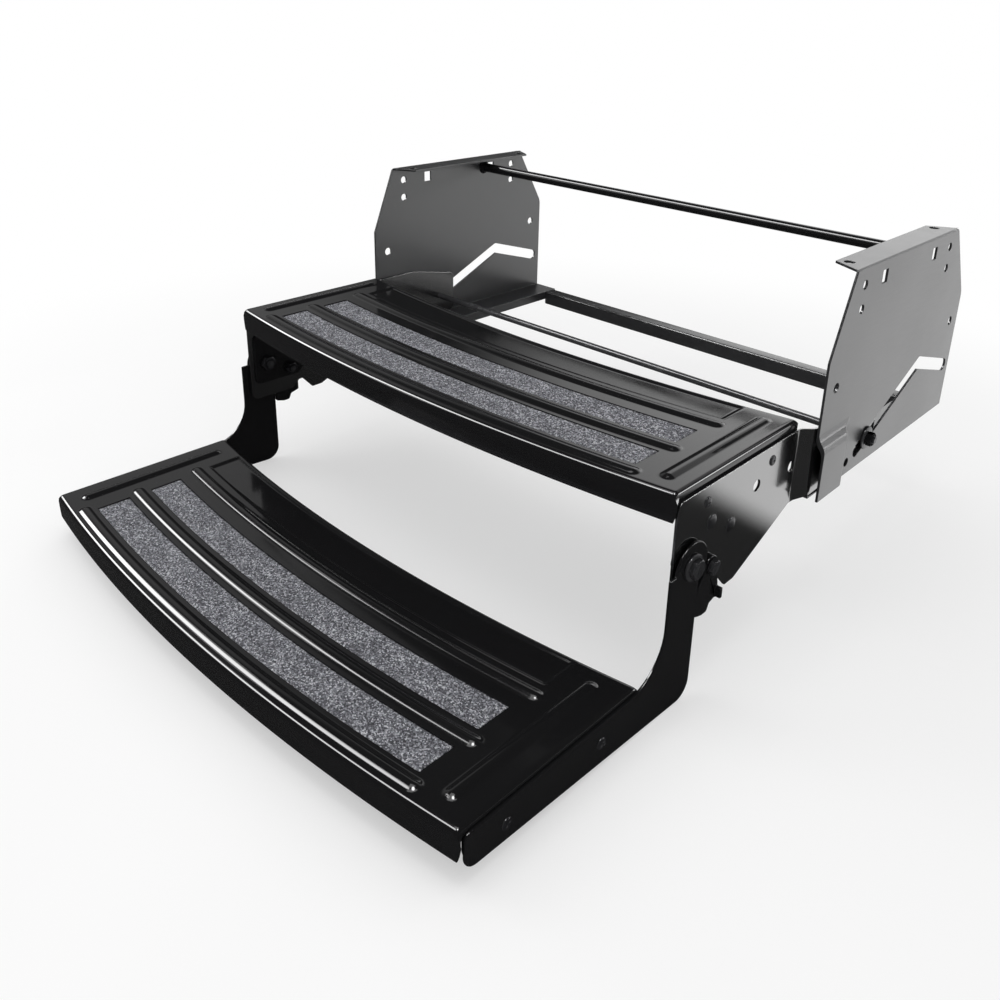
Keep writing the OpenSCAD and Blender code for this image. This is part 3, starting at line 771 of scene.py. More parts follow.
class Parts:
    """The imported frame's nodes, as patterns and as places for new pieces."""

    def __init__(self, frame: dict[str, Any]) -> None:
        self.nodes: dict[str, bpy.types.Object] = frame["nodes"]

    def cloned(self, node: str) -> bpy.types.Object:
        """Copies a node's mesh and merges its loose triangles.

        Args:
            node: Name of the CAD node.

        Returns:
            The merged copy.
        """
        mesh = self.nodes[node].data.copy()
        piece = bpy.data.objects.new(node + "_dressed", mesh)
        bpy.context.scene.collection.objects.link(piece)
        Bench.edit(piece, Element.VERTEX)
        bpy.ops.mesh.remove_doubles(threshold=MERGE_GAP)
        bpy.ops.mesh.dissolve_limited(angle_limit=FLAT_TURN)
        bpy.ops.mesh.customdata_custom_splitnormals_clear()
        bpy.ops.object.mode_set(mode="OBJECT")
        return piece

    def solids(self, node: str) -> list[Box]:
        """Finds the box of each separate solid in a node.

        Args:
            node: Name of the CAD node.

        Returns:
            The boxes, from left to right.
        """
        pattern = self.cloned(node)
        Bench.edit(pattern)
        bpy.ops.mesh.separate(type="LOOSE")
        bpy.ops.object.mode_set(mode="OBJECT")
        boxes = []
        for loose in list(bpy.context.selected_objects):
            points = np.array([v.co for v in loose.data.vertices])
            boxes.append(Box(Vector(points.min(0)), Vector(points.max(0))))
            Bench.drop(loose)
        return sorted(boxes, key=lambda box: (box.middle.x, box.middle.y))


@dataclass
class Kit:
    """What every sub-assembly needs: the frame's nodes and the finishes."""

    parts: Parts
    finishes: Finishes
    made: list[bpy.types.Object] = field(default_factory=list)

    def settle(
        self,
        piece: bpy.types.Object,
        body: Body,
        slot: Slot,
        *nodes: str,
        finish: bpy.types.Material | None = None,
    ) -> None:
        """Dresses a finished piece and puts it on its body.

        Args:
            piece: Finished object.
            body: Body that it rides on.
            slot: Slot of its finish.
            nodes: CAD nodes that it stands for.
            finish: Finish that takes the place of the slot's own.
        """
        self.finishes.dress(piece, slot, finish)
        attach(piece, body.value)
        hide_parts(*nodes)
        self.made.append(piece)
        LOG.info("%s: %d faces on %s", piece.name, len(piece.data.polygons), body.value)


@dataclass
class Tread:
    """One pressed tread pan and its two grit strips. Lengths are in metres."""

    kit: Kit
    level: str
    body: Body
    pan_half: float
    ear_half: float
    # Sheet, folds and skirts
    depth: float = 193 * MM
    sheet: float = 2 * MM
    sheet_edge: float = 0.35 * MM
    bow_radius: float = 2125 * MM
    end_bend: float = 5 * MM
    side_bend: float = 4 * MM
    skirt: float = 26 * MM
    rear_skirt: float = 18 * MM
    flange: float = 34 * MM
    slit: float = 2.6 * MM
    front_slit: float = 5.6 * MM
    flange_toe: float = 14 * MM
    toe_run: float = 40 * MM
    ear_taper: float = 3 * MM
    # Pressed beads
    bead_half: float = 6 * MM
    bead_height: float = 2.5 * MM
    bead_foot: float = 1.3 * MM
    bead_places: tuple[float, float, float] = (13 * MM, 69.5 * MM, 136 * MM)
    bead_end: float = 256 * MM
    side_bead_at: float = 281 * MM
    side_bead_end: float = 24 * MM
    # Grit strips and recesses
    strip_places: tuple[float, float] = (41 * MM, 98 * MM)
    strip_width: float = 33 * MM
    strip_half: float = 250 * MM
    strip_gap: float = 0.4 * MM
    strip_thick: float = 1.4 * MM
    strip_rim: float = 1 * MM
    rim_drop: float = 0.25 * MM
    recess_depth: float = 1.6 * MM
    recess_lap: float = 0.2 * MM
    recess_run: float = 0.45 * MM
    rear_recess_at: float = 169 * MM
    rear_recess: float = 30 * MM
    rear_recess_run: float = 5 * MM
    grain_height: float = 0.42 * MM
    grain_drift: tuple[float, float] = (0.35 * MM, 0.3 * MM)
    grain_evenness: float = 1.6
    # Cells of the grids
    strip_cells: tuple[int, int] = (430, 30)
    even_half: float = 232 * MM
    even_cells: int = 58
    outer_cells: int = 45
    side_bend_cells: int = 6
    flange_cells: int = 10
    top_cells: int = 122
    end_bend_cells: int = 7
    skirt_cells: int = 5
    rear_skirt_cells: int = 4
    wall_rows: tuple[float, ...] = (-0.3 * MM, 0.3 * MM, 0.8 * MM, 1.4 * MM)
    wall_clear: float = 0.45 * MM

    def __post_init__(self) -> None:
        """Takes the tread's front edge and top from its CAD nodes."""
        self.front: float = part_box(self.node)[0].y
        self.top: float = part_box(f"{self.level}_front_grit_strip")[1].z + self.recess_depth - self.strip_thick

    @property
    def node(self) -> str:
        """Name of the CAD node of the pan."""
        return f"{self.level}_tread"

    def build(self) -> None:
        """Makes the pan and the strips, and puts them in place."""
        self.kit.settle(self.pan(), self.body, Slot.BLACK_PAINT, self.node)
        for place, word in zip(self.strip_places, ("front", "rear")):
            name = f"{self.level}_{word}_grit_strip"
            self.kit.settle(self.strip(name + "_dressed", place), self.body, Slot.GRIT, name)

    def bow(self, across: Lengths, behind: Lengths) -> Lengths:
        """Setback of the bowed lines, from distances off the middle and behind the front edge."""
        radius = self.bow_radius - behind
        return radius - np.sqrt(radius * radius - across * across)

    def pressing(self, across: np.ndarray, behind: np.ndarray) -> np.ndarray:
        """Height of the pressed beads and recesses over the flat sheet.

        Args:
            across: Distances from the middle.
            behind: Distances behind the front edge.

        Returns:
            Heights, below nought in the recesses.
        """
        out = np.abs(across)
        rear = behind + self.bow(across, behind)
        height = np.zeros_like(across)
        for place in self.bead_places:
            away = np.hypot(np.maximum(out - self.bead_end, 0.0), behind - place)
            height = np.maximum(height, self.bead(away))
        first = self.side_bead_end + self.bow(self.side_bead_at, 0.0)
        last = self.depth + self.bow(self.side_bead_at, self.depth) - self.side_bead_end
        past = np.maximum(np.maximum(first - rear, rear - last), 0.0)
        height = np.maximum(height, self.bead(np.hypot(out - self.side_bead_at, past)))
        for place in self.strip_places:
            height -= self.recess(out, behind - place, self.strip_width, self.recess_run)
        height -= self.recess(out, behind - self.rear_recess_at, self.rear_recess, self.rear_recess_run)
        return height

    def bead(self, away: np.ndarray) -> np.ndarray:
        """Height of a round bead with a filleted foot.

        Args:
            away: Distances from the bead's middle line.

        Returns:
            Heights of the bead.
        """
        radius = (self.bead_half**2 + self.bead_height**2) / (2 * self.bead_height)
        arc = np.sqrt(np.maximum(radius**2 - away**2, 0.0)) - (radius - self.bead_height)
        arc = np.where(away < radius, arc, -radius)
        blend = np.maximum(self.bead_foot - np.abs(arc), 0.0) / self.bead_foot
        return np.maximum(arc, 0.0) + blend * blend * self.bead_foot / 4

    def recess(self, out: np.ndarray, beside: np.ndarray, width: float, run: float) -> np.ndarray:
        """Depth of a flat recess with drawn walls that rise outside its edge.

        Args:
            out: Distances from the tread's middle.
            beside: Distances from the recess's middle line.
            width: Width of the flat floor.
            run: Run of the wall.

        Returns:
            Depths of the recess.
        """
        edge = np.maximum(np.abs(beside) - width / 2, out - self.strip_half)
        share = np.clip((edge + self.recess_lap) / run, 0.0, 1.0)
        return self.recess_depth * (1.0 - share * share * (3.0 - 2.0 * share))

    @staticmethod
    def steps(start: float, end: float, cells: int) -> np.ndarray:
        """Even places from a start, which is left out, to an end."""
        return np.linspace(start, end, cells + 1)[1:]

    def columns(self) -> np.ndarray:
        """Places across the sheet, measured along it, from one flange's edge to the other's.

        Returns:
            The places, in rising order.
        """
        flat = self.pan_half - self.side_bend
        middle = np.linspace(-self.even_half, self.even_half, self.even_cells + 1)
        outer = self.steps(self.even_half, flat, self.outer_cells)
        bend = flat + self.steps(0.0, self.side_bend * QUARTER, self.side_bend_cells)
        drop = bend[-1] + self.steps(0.0, self.flange - self.side_bend, self.flange_cells)
        right = np.concatenate([outer, bend, drop])
        return np.concatenate([-right[::-1], middle, right])

    def rows(self) -> np.ndarray:
        """Places along the sheet, from the front skirt's edge to the rear skirt's, closer at recess walls.

        Returns:
            The places, in rising order.
        """
        recesses = [(place, self.strip_width) for place in self.strip_places]
        recesses.append((self.rear_recess_at, self.rear_recess))
        walls = [
            place + side * (width / 2 + past)
            for place, width in recesses
            for side in (-1, 1)
            for past in self.wall_rows
        ]
        even = np.linspace(self.end_bend, self.depth - self.end_bend, self.top_cells + 1)
        clear = [row for row in even if min(abs(row - wall) for wall in walls) > self.wall_clear]
        quarter = self.end_bend * QUARTER
        bend = self.steps(0.0, quarter, self.end_bend_cells)
        front, rear = (
            np.concatenate([bend, quarter + self.steps(0.0, skirt - self.end_bend, cells)])
            for skirt, cells in ((self.skirt, self.skirt_cells), (self.rear_skirt, self.rear_skirt_cells))
        )
        top = sorted(clear + walls)
        return np.concatenate([self.end_bend - front[::-1], top, self.depth - self.end_bend + rear])

    @staticmethod
    def folded(run: np.ndarray, radius: float) -> tuple[np.ndarray, np.ndarray, np.ndarray]:
        """Follows a sheet round a bend.

        Args:
            run: Lengths of sheet past the start of the bend; less than nought is the flat.
            radius: Outer radius of the bend.

        Returns:
            How far the sheet reaches on, how far it drops, and how far it has turned, in radians.
        """
        turn = np.clip(run / radius, 0.0, QUARTER)
        straight = np.maximum(run - radius * QUARTER, 0.0)
        reach = np.minimum(run, 0.0) + radius * np.sin(turn)
        drop = radius * (1.0 - np.cos(turn)) + straight
        return reach, drop, turn

    def rounding(self, drop: np.ndarray) -> np.ndarray:
        """Setback of the side flange's rounded front corner, from distances below the tread's top."""
        low = np.clip(drop - self.flange + self.flange_toe, 0.0, self.flange_toe)
        return self.flange_toe - np.sqrt(self.flange_toe ** 2 - low * low)

    def lay(
        self, piece: bpy.types.Object, across: np.ndarray, behind: np.ndarray, height: np.ndarray
    ) -> None:
        """Moves a grid's points to their places on the bowed tread.

        Args:
            piece: Grid to shape.
            across: Distances from the middle.
            behind: Distances behind the bowed front edge.
            height: Heights in the step's frame.
        """
        points = np.stack([across, self.front + behind + self.bow(across, behind), height], axis=-1)
        piece.data.vertices.foreach_set("co", points.astype(np.float32).ravel())
        piece.data.update()

    def pan(self) -> bpy.types.Object:
        """Presses and folds the pan from one sheet.

        Returns:
            The finished pan.
        """
        columns, rows = self.columns(), self.rows()
        piece = Bench.grid(f"{self.level}_tread_pressed", len(columns) - 1, len(rows) - 1)
        grid_x, grid_y = np.meshgrid(columns, rows)
        flat = self.pan_half - self.side_bend
        reach, side_drop, turn = self.folded(np.abs(grid_x) - flat, self.side_bend)
        across = np.sign(grid_x) * (flat + reach)
        front_reach, front_drop, _ = self.folded(self.end_bend - grid_y, self.end_bend)
        rear_reach, rear_drop, _ = self.folded(grid_y - self.depth + self.end_bend, self.end_bend)
        in_front = grid_y < self.depth / 2
        behind = np.where(in_front, self.end_bend - front_reach, self.depth - self.end_bend + rear_reach)
        drop = np.where(in_front, front_drop, rear_drop)
        in_skirt = (front_drop > self.end_bend + HAIR) & (np.abs(across) > flat)
        on_flange = (side_drop > self.side_bend - HAIR) & ~in_skirt
        start = self.front_slit + self.rounding(side_drop)
        set_back = np.where(behind < self.toe_run, start + behind * (1.0 - start / self.toe_run), behind)
        behind = np.where(on_flange, np.minimum(set_back, self.depth - self.slit), behind)
        ear = self.ear_half - self.ear_taper * (drop / self.skirt) ** 3
        widen = (ear - flat) / self.side_bend
        across = np.where(in_skirt, np.sign(across) * (flat + (np.abs(across) - flat) * widen), across)
        pressed = np.where(drop + side_drop < HAIR, self.pressing(across, behind), 0.0)
        height = np.where(in_skirt, self.top - drop, self.top - side_drop - drop * np.cos(turn) + pressed)
        self.lay(piece, across, behind, height)
        self.cut_corners(piece, columns, rows)
        Bench.apply(piece, "SOLIDIFY", thickness=self.sheet, offset=-1.0, use_even_offset=True)
        Bench.soften(piece, self.sheet_edge, angle=75.0)
        return Bench.finish(piece, 40.0)

    def cut_corners(self, piece: bpy.types.Object, columns: np.ndarray, rows: np.ndarray) -> None:
        """Cuts away the sheet where a skirt and a flange would both fold.

        Args:
            piece: Folded sheet.
            columns: Places across the sheet.
            rows: Places along the sheet.
        """
        wide = len(columns) - 1
        side_quarter, end_quarter = (bend * QUARTER for bend in (self.side_bend, self.end_bend))
        middle_x = (np.abs(columns[:-1]) + np.abs(columns[1:])) / 2
        middle_y = (rows[:-1] + rows[1:]) / 2
        beside = middle_x > self.pan_half - self.side_bend + side_quarter
        before = middle_y < self.end_bend - end_quarter
        beyond = before | (middle_y > self.depth - self.end_bend + end_quarter)
        Bench.pick(piece, Element.FACE, lambda face: beyond[face.index // wide] and beside[face.index % wide])
        bpy.ops.mesh.delete(type="FACE")
        bpy.ops.object.mode_set(mode="OBJECT")

    def strip(self, name: str, place: float) -> bpy.types.Object:
        """Lays one grit strip in its recess.

        Args:
            name: Name of the piece.
            place: Distance of its middle line behind the front edge.

        Returns:
            The finished strip.
        """
        half = self.strip_half - self.strip_gap
        wide = self.strip_width - 2 * self.strip_gap
        piece = Bench.grid(name, *self.strip_cells)
        spots = np.array([vertex.co for vertex in piece.data.vertices], dtype=float)
        across, beside = spots[:, 0] * 2 * half, spots[:, 1] * wide
        rim = np.minimum(half - np.abs(across), wide / 2 - np.abs(beside))
        loose = np.clip(rim / self.strip_rim, 0.0, 1.0)
        seed = int(place * 1e5)
        rng = np.random.default_rng(seed)
        drift_x, drift_y = (rng.uniform(-most, most, len(spots)) for most in self.grain_drift)
        grains = rng.beta(self.grain_evenness, self.grain_evenness, len(spots)) * self.grain_height * loose
        base = self.top - self.recess_depth
        height = base + self.strip_thick - self.grain_height - (1.0 - loose) * self.rim_drop + grains
        self.lay(piece, across + loose * drift_x, place + beside + loose * drift_y, height)
        Bench.edit(piece)
        bpy.ops.mesh.extrude_region_move(TRANSFORM_OT_translate={"value": (0.0, 0.0, -self.strip_thick / 2)})
        bpy.ops.object.mode_set(mode="OBJECT")
        for vertex in piece.data.vertices:
            if vertex.select:
                vertex.co.z = base
        Bench.face_out(piece)
        return Bench.finish(piece, 25.0)


@dataclass
class SheetMetal:
    """Cut and folded sheet pieces that keep their CAD shape and get soft edges, in metres and degrees."""

    kit: Kit
    edge: float = 0.4 * MM
    arm_edge: float = 0.8 * MM
    fold: float = 2.4 * MM
    crease: float = 4.0 * MM
    crease_length: float = 12 * MM
    crease_turn: tuple[float, float] = (22.0, 75.0)

    def build(self) -> None:
        """Makes the plates, brackets, doublers, arms and levers."""
        latch = {Side.LEFT: Body.LEFT_LATCH, Side.RIGHT: Body.RIGHT_LATCH}
        satin, gloss, slide = Slot.FRAME_PAINT, Slot.BLACK_PAINT, self.kit.finishes.slide
        for side in Side:
            word = side.label
            self.sheet(f"{word}_hanger_plate", Body.FRAME, satin, folded=True, pressed=True)
            self.sheet(f"{word}_carriage_bracket", Body.CARRIAGE, satin, pressed=True, finish=slide)
            self.sheet(f"{word}_doubler_plate", Body.CARRIAGE, gloss)
            self.sheet(f"{word}_lower_arm", Body.LOWER, gloss)
            self.sheet(f"{word}_latch_lever", latch[side], gloss)

    def sheet(
        self,
        node: str,
        body: Body,
        slot: Slot,
        folded: bool = False,
        pressed: bool = False,
        finish: bpy.types.Material | None = None,
    ) -> None:
        """Makes one sheet piece from its CAD shape.

        Args:
            node: CAD node that gives the shape.
            body: Body that it rides on.
            slot: Slot of its finish.
            folded: Whether the long top fold gets a bend radius.
            pressed: Whether slanting creases get a bend radius.
            finish: Finish that takes the place of the slot's own.
        """
        piece = self.kit.parts.cloned(node)
        if pressed:
            self.round_creases(piece)
        if folded:
            self.round_top_fold(piece)
        Bench.soften(piece, self.edge if slot is Slot.FRAME_PAINT else self.arm_edge, angle=30.0)
        self.kit.settle(Bench.finish(piece, 48.0, flat_faces=True), body, slot, node, finish=finish)

    def round_creases(self, piece: bpy.types.Object) -> None:
        """Gives the slanting creases of a pressed or cranked sheet a bend radius.

        Args:
            piece: Merged copy of the sheet.
        """
        normals: dict[tuple[int, int], list[Vector]] = {}
        for face in piece.data.polygons:
            for key in face.edge_keys:
                normals.setdefault(key, []).append(face.normal.copy())
        least, most = (math.radians(angle) for angle in self.crease_turn)

        def slanting(edge: bpy.types.MeshEdge) -> bool:
            """Whether an edge is a long crease between two slanting faces.

            Args:
                edge: Edge of the merged copy.

            Returns:
                True for such an edge.
            """
            start, end = Bench.ends(piece, edge)
            beside = normals.get(tuple(sorted(edge.vertices)), [])
            turn = beside[0].angle(beside[1]) if len(beside) == 2 else 0.0
            return least < turn < most and (end - start).length > self.crease_length

        Bench.round_edges(piece, self.crease, slanting)

    def round_top_fold(self, piece: bpy.types.Object) -> None:
        """Gives the fold between a hanger plate and its top flange a bend radius.

        Args:
            piece: Merged copy of the plate.
        """
        outer = max(abs(vertex.co.x) for vertex in piece.data.vertices if vertex.co.z > -HAIR)

        def at_fold(edge: bpy.types.MeshEdge) -> bool:
            """Whether an edge runs along the outside of the fold."""
            ends = Bench.ends(piece, edge)
            return all(abs(end.z) < HAIR and abs(abs(end.x) - outer) < HAIR for end in ends)

        Bench.round_edges(piece, self.fold, at_fold)


@dataclass
class Turned:
    """Round pieces turned about a line across the step, from a profile of places and radii, in metres."""

    kit: Kit
    steps: int = 36
    thread_depth: float = 0.45 * MM
    hex_chamfer: float = 0.9 * MM
    hex_face: float = 0.97
    hex_room: float = 1.02
    hex_edge: float = 0.2 * MM
    bore_chamfer: float = 0.3 * MM
    overrun: float = 1 * MM

    def lathe(
        self, name: str, profile: Profile, hollow: bool = False, steps: int | None = None
    ) -> bpy.types.Object:
        """Spins a profile about the X axis.

        Args:
            name: Name of the piece.
            profile: Places along X and radii.
            hollow: Whether the profile is a closed loop round a bore.
            steps: Steps round the piece, where they differ from the usual.

        Returns:
            The turned object.
        """
        Bench.clear_selection()
        bpy.ops.mesh.primitive_circle_add(vertices=len(profile), radius=1.0, fill_type="NOTHING")
        piece = Bench.named(name)
        for vertex, (along, radius) in zip(piece.data.vertices, profile):
            vertex.co = (along, 0.0, radius)
        if not hollow:
            Bench.pick(piece, Element.EDGE, lambda edge: set(edge.vertices) == {0, len(profile) - 1})
            bpy.ops.mesh.delete(type="EDGE")
        Bench.edit(piece, Element.VERTEX)
        bpy.ops.mesh.spin(steps=steps or self.steps, angle=2 * math.pi, center=(0, 0, 0), axis=(1, 0, 0))
        bpy.ops.mesh.select_all(action="SELECT")
        bpy.ops.mesh.remove_doubles(threshold=SEAM_GAP)
        Bench.face_out(piece)
        return piece

    @staticmethod
    def ring(low: float, high: float, inner: float, outer: float, soft: float) -> Profile:
        """Closed profile of a ring from its ends along X, its radii and its soft outer edges."""
        part = 0.3 * soft
        return [
            (low, inner), (low, outer - soft), (low + part, outer - part), (low + soft, outer),
            (high - soft, outer), (high - part, outer - part), (high, outer - soft), (high, inner),
        ]

    def thread(self, low: float, high: float, radius: float, pitch: float) -> Profile:
        """Profile points of a threaded stretch.

        Args:
            low: Start along X.
            high: End along X.
            radius: Outer radius of the thread.
            pitch: Distance between the ridges.

        Returns:
            Open profile from low to high.
        """
        turns = max(1, round((high - low) / pitch))
        places = np.linspace(low, high, 2 * turns + 1)
        return [(float(x), radius - (self.thread_depth if k % 2 == 0 else 0.0)) for k, x in enumerate(places)]

    @staticmethod
    def row(pattern: bpy.types.Object, boxes: Iterable[Box], name: str) -> bpy.types.Object:
        """Copies a piece to each place and joins the copies.

        Args:
            pattern: Piece for the right side, at its place along X and with its axis at Y and Z nought.
            boxes: Boxes of the CAD solids, which give the places.
            name: Name of the joined piece.

        Returns:
            The joined piece.
        """
        copies = []
        for box in boxes:
            twin = Bench.copy(pattern)
            middle = box.middle
            turn = Matrix.Rotation(math.pi, 4, "Z") if middle.x < 0 else Matrix.Identity(4)
            twin.data.transform(Matrix.Translation((0.0, middle.y, middle.z)) @ turn)
            copies.append(twin)
        Bench.drop(pattern)
        return Bench.join(copies, name)

    def carve(self, piece: bpy.types.Object, cut: Cut, profile: Profile) -> None:
        """Cuts a piece with a turned shape.

        Args:
            piece: Object to cut.
            cut: What the shape leaves.
            profile: Open profile of the shape.
        """
        cutter = self.lathe("cutter", profile)
        Bench.apply(piece, "BOOLEAN", operation=cut.value, object=cutter, solver="EXACT")
        Bench.drop(cutter)

    def hexagon(
        self, name: str, low: float, high: float, corner: float, bore: float = 0.0
    ) -> bpy.types.Object:
        """Hexagon with chamfered ends along X, bored through where a bore is given.

        Args:
            name: Name of the piece.
            low: Start along X.
            high: End along X.
            corner: Radius to the corners.
            bore: Radius of the bore, or nought.

        Returns:
            The hexagon.
        """
        Bench.clear_selection()
        bpy.ops.mesh.primitive_cylinder_add(
            vertices=6,
            radius=corner,
            depth=high - low,
            location=((low + high) / 2, 0, 0),
            rotation=(0, QUARTER, 0),
        )
        piece = Bench.named(name)
        bpy.ops.object.transform_apply(location=True, rotation=True, scale=True)
        start, end = low - HAIR, high + HAIR
        face, room = corner * math.cos(math.pi / 6) * self.hex_face, corner * self.hex_room
        cone = [(low + self.hex_chamfer, room), (high - self.hex_chamfer, room)]
        self.carve(piece, Cut.INSIDE, [(start, 0.0), (start, face), *cone, (end, face), (end, 0.0)])
        if bore > 0:
            start, end = low - self.overrun, high + self.overrun
            wide = bore + self.overrun + self.bore_chamfer
            drill = [(low + self.bore_chamfer, bore), (high - self.bore_chamfer, bore)]
            self.carve(piece, Cut.OUTSIDE, [(start, 0.0), (start, wide), *drill, (end, wide), (end, 0.0)])
        Bench.soften(piece, self.hex_edge, angle=25.0)
        return piece


@dataclass
class CrossMembers:
    """Round tie at the top and square tube at the rear of the frame. Lengths are in metres."""

    turned: Turned
    rod_radius: float = 6 * MM
    rod_steps: int = 56
    weld: float = 4 * MM
    weld_height: float = 3.2 * MM
    weld_fullness: float = 1.3
    weld_points: int = 8
    ripples: int = 14
    ripple_height: float = 0.10
    ripple_rise: float = 2 * MM
    ripple_clear: float = 0.05 * MM
    tube_corner: float = 3 * MM
    tube_wall: float = 2 * MM
    tube_edge: float = 0.3 * MM

    def build(self) -> None:
        """Makes both cross members."""
        kit = self.turned.kit
        kit.settle(self.rod(), Body.FRAME, Slot.BLACK_PAINT, "top_cross_rod")
        satin = kit.finishes.by_slot[Slot.FRAME_PAINT]
        kit.settle(self.tube(), Body.FRAME, Slot.BLACK_PAINT, "rear_cross_bar", finish=satin)

    def rod(self) -> bpy.types.Object:
        """Turns the rod and lays rippled weld beads round its ends.

        Returns:
            The finished rod.
        """
        low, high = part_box("top_cross_rod")
        middle, end = (low + high) / 2, high.x
        right = [(end, 0.0)]
        for angle in np.linspace(0.0, QUARTER, self.weld_points):
            rise = self.weld_height * (1 - math.sin(angle)) ** self.weld_fullness
            right.append((end - self.weld * math.sin(angle), self.rod_radius + rise))
        profile = [(-x, radius) for x, radius in right] + right[::-1]
        piece = self.turned.lathe("top_cross_rod_dressed", profile, steps=self.rod_steps)
        for vertex in piece.data.vertices:
            over = math.hypot(vertex.co.y, vertex.co.z) - self.rod_radius
            if over > self.ripple_clear and abs(vertex.co.x) < end - self.ripple_clear:
                wave = math.sin(self.ripples * math.atan2(vertex.co.z, vertex.co.y))
                push = 1.0 + self.ripple_height * wave * min(1.0, over / self.ripple_rise)
                vertex.co.y *= push
                vertex.co.z *= push
        piece.location = (0.0, middle.y, middle.z)
        return Bench.finish(piece, 35.0)

    def tube(self) -> bpy.types.Object:
        """Makes the square tube with round corners and open ends.

        Returns:
            The finished tube.
        """
        box = Box(*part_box("rear_cross_bar"))
        Bench.clear_selection()
        bpy.ops.mesh.primitive_cube_add(size=1.0, location=box.middle)
        piece = Bench.named("rear_cross_bar_dressed")
        piece.scale = box.size
        bpy.ops.object.transform_apply(location=True, rotation=True, scale=True)
        Bench.pick(piece, Element.FACE, lambda face: abs(face.normal.x) > 0.9)
        bpy.ops.mesh.delete(type="ONLY_FACE")

        def lengthwise(edge: bpy.types.MeshEdge) -> bool:
            """Whether an edge runs along the tube."""
            start, end = Bench.ends(piece, edge)
            return abs(start.x - end.x) > box.size.x / 2

        Bench.round_edges(piece, self.tube_corner, lengthwise)
        Bench.apply(piece, "SOLIDIFY", thickness=self.tube_wall, offset=-1.0, use_even_offset=True)
        Bench.soften(piece, self.tube_edge, angle=50.0)
        return Bench.finish(piece, 35.0)


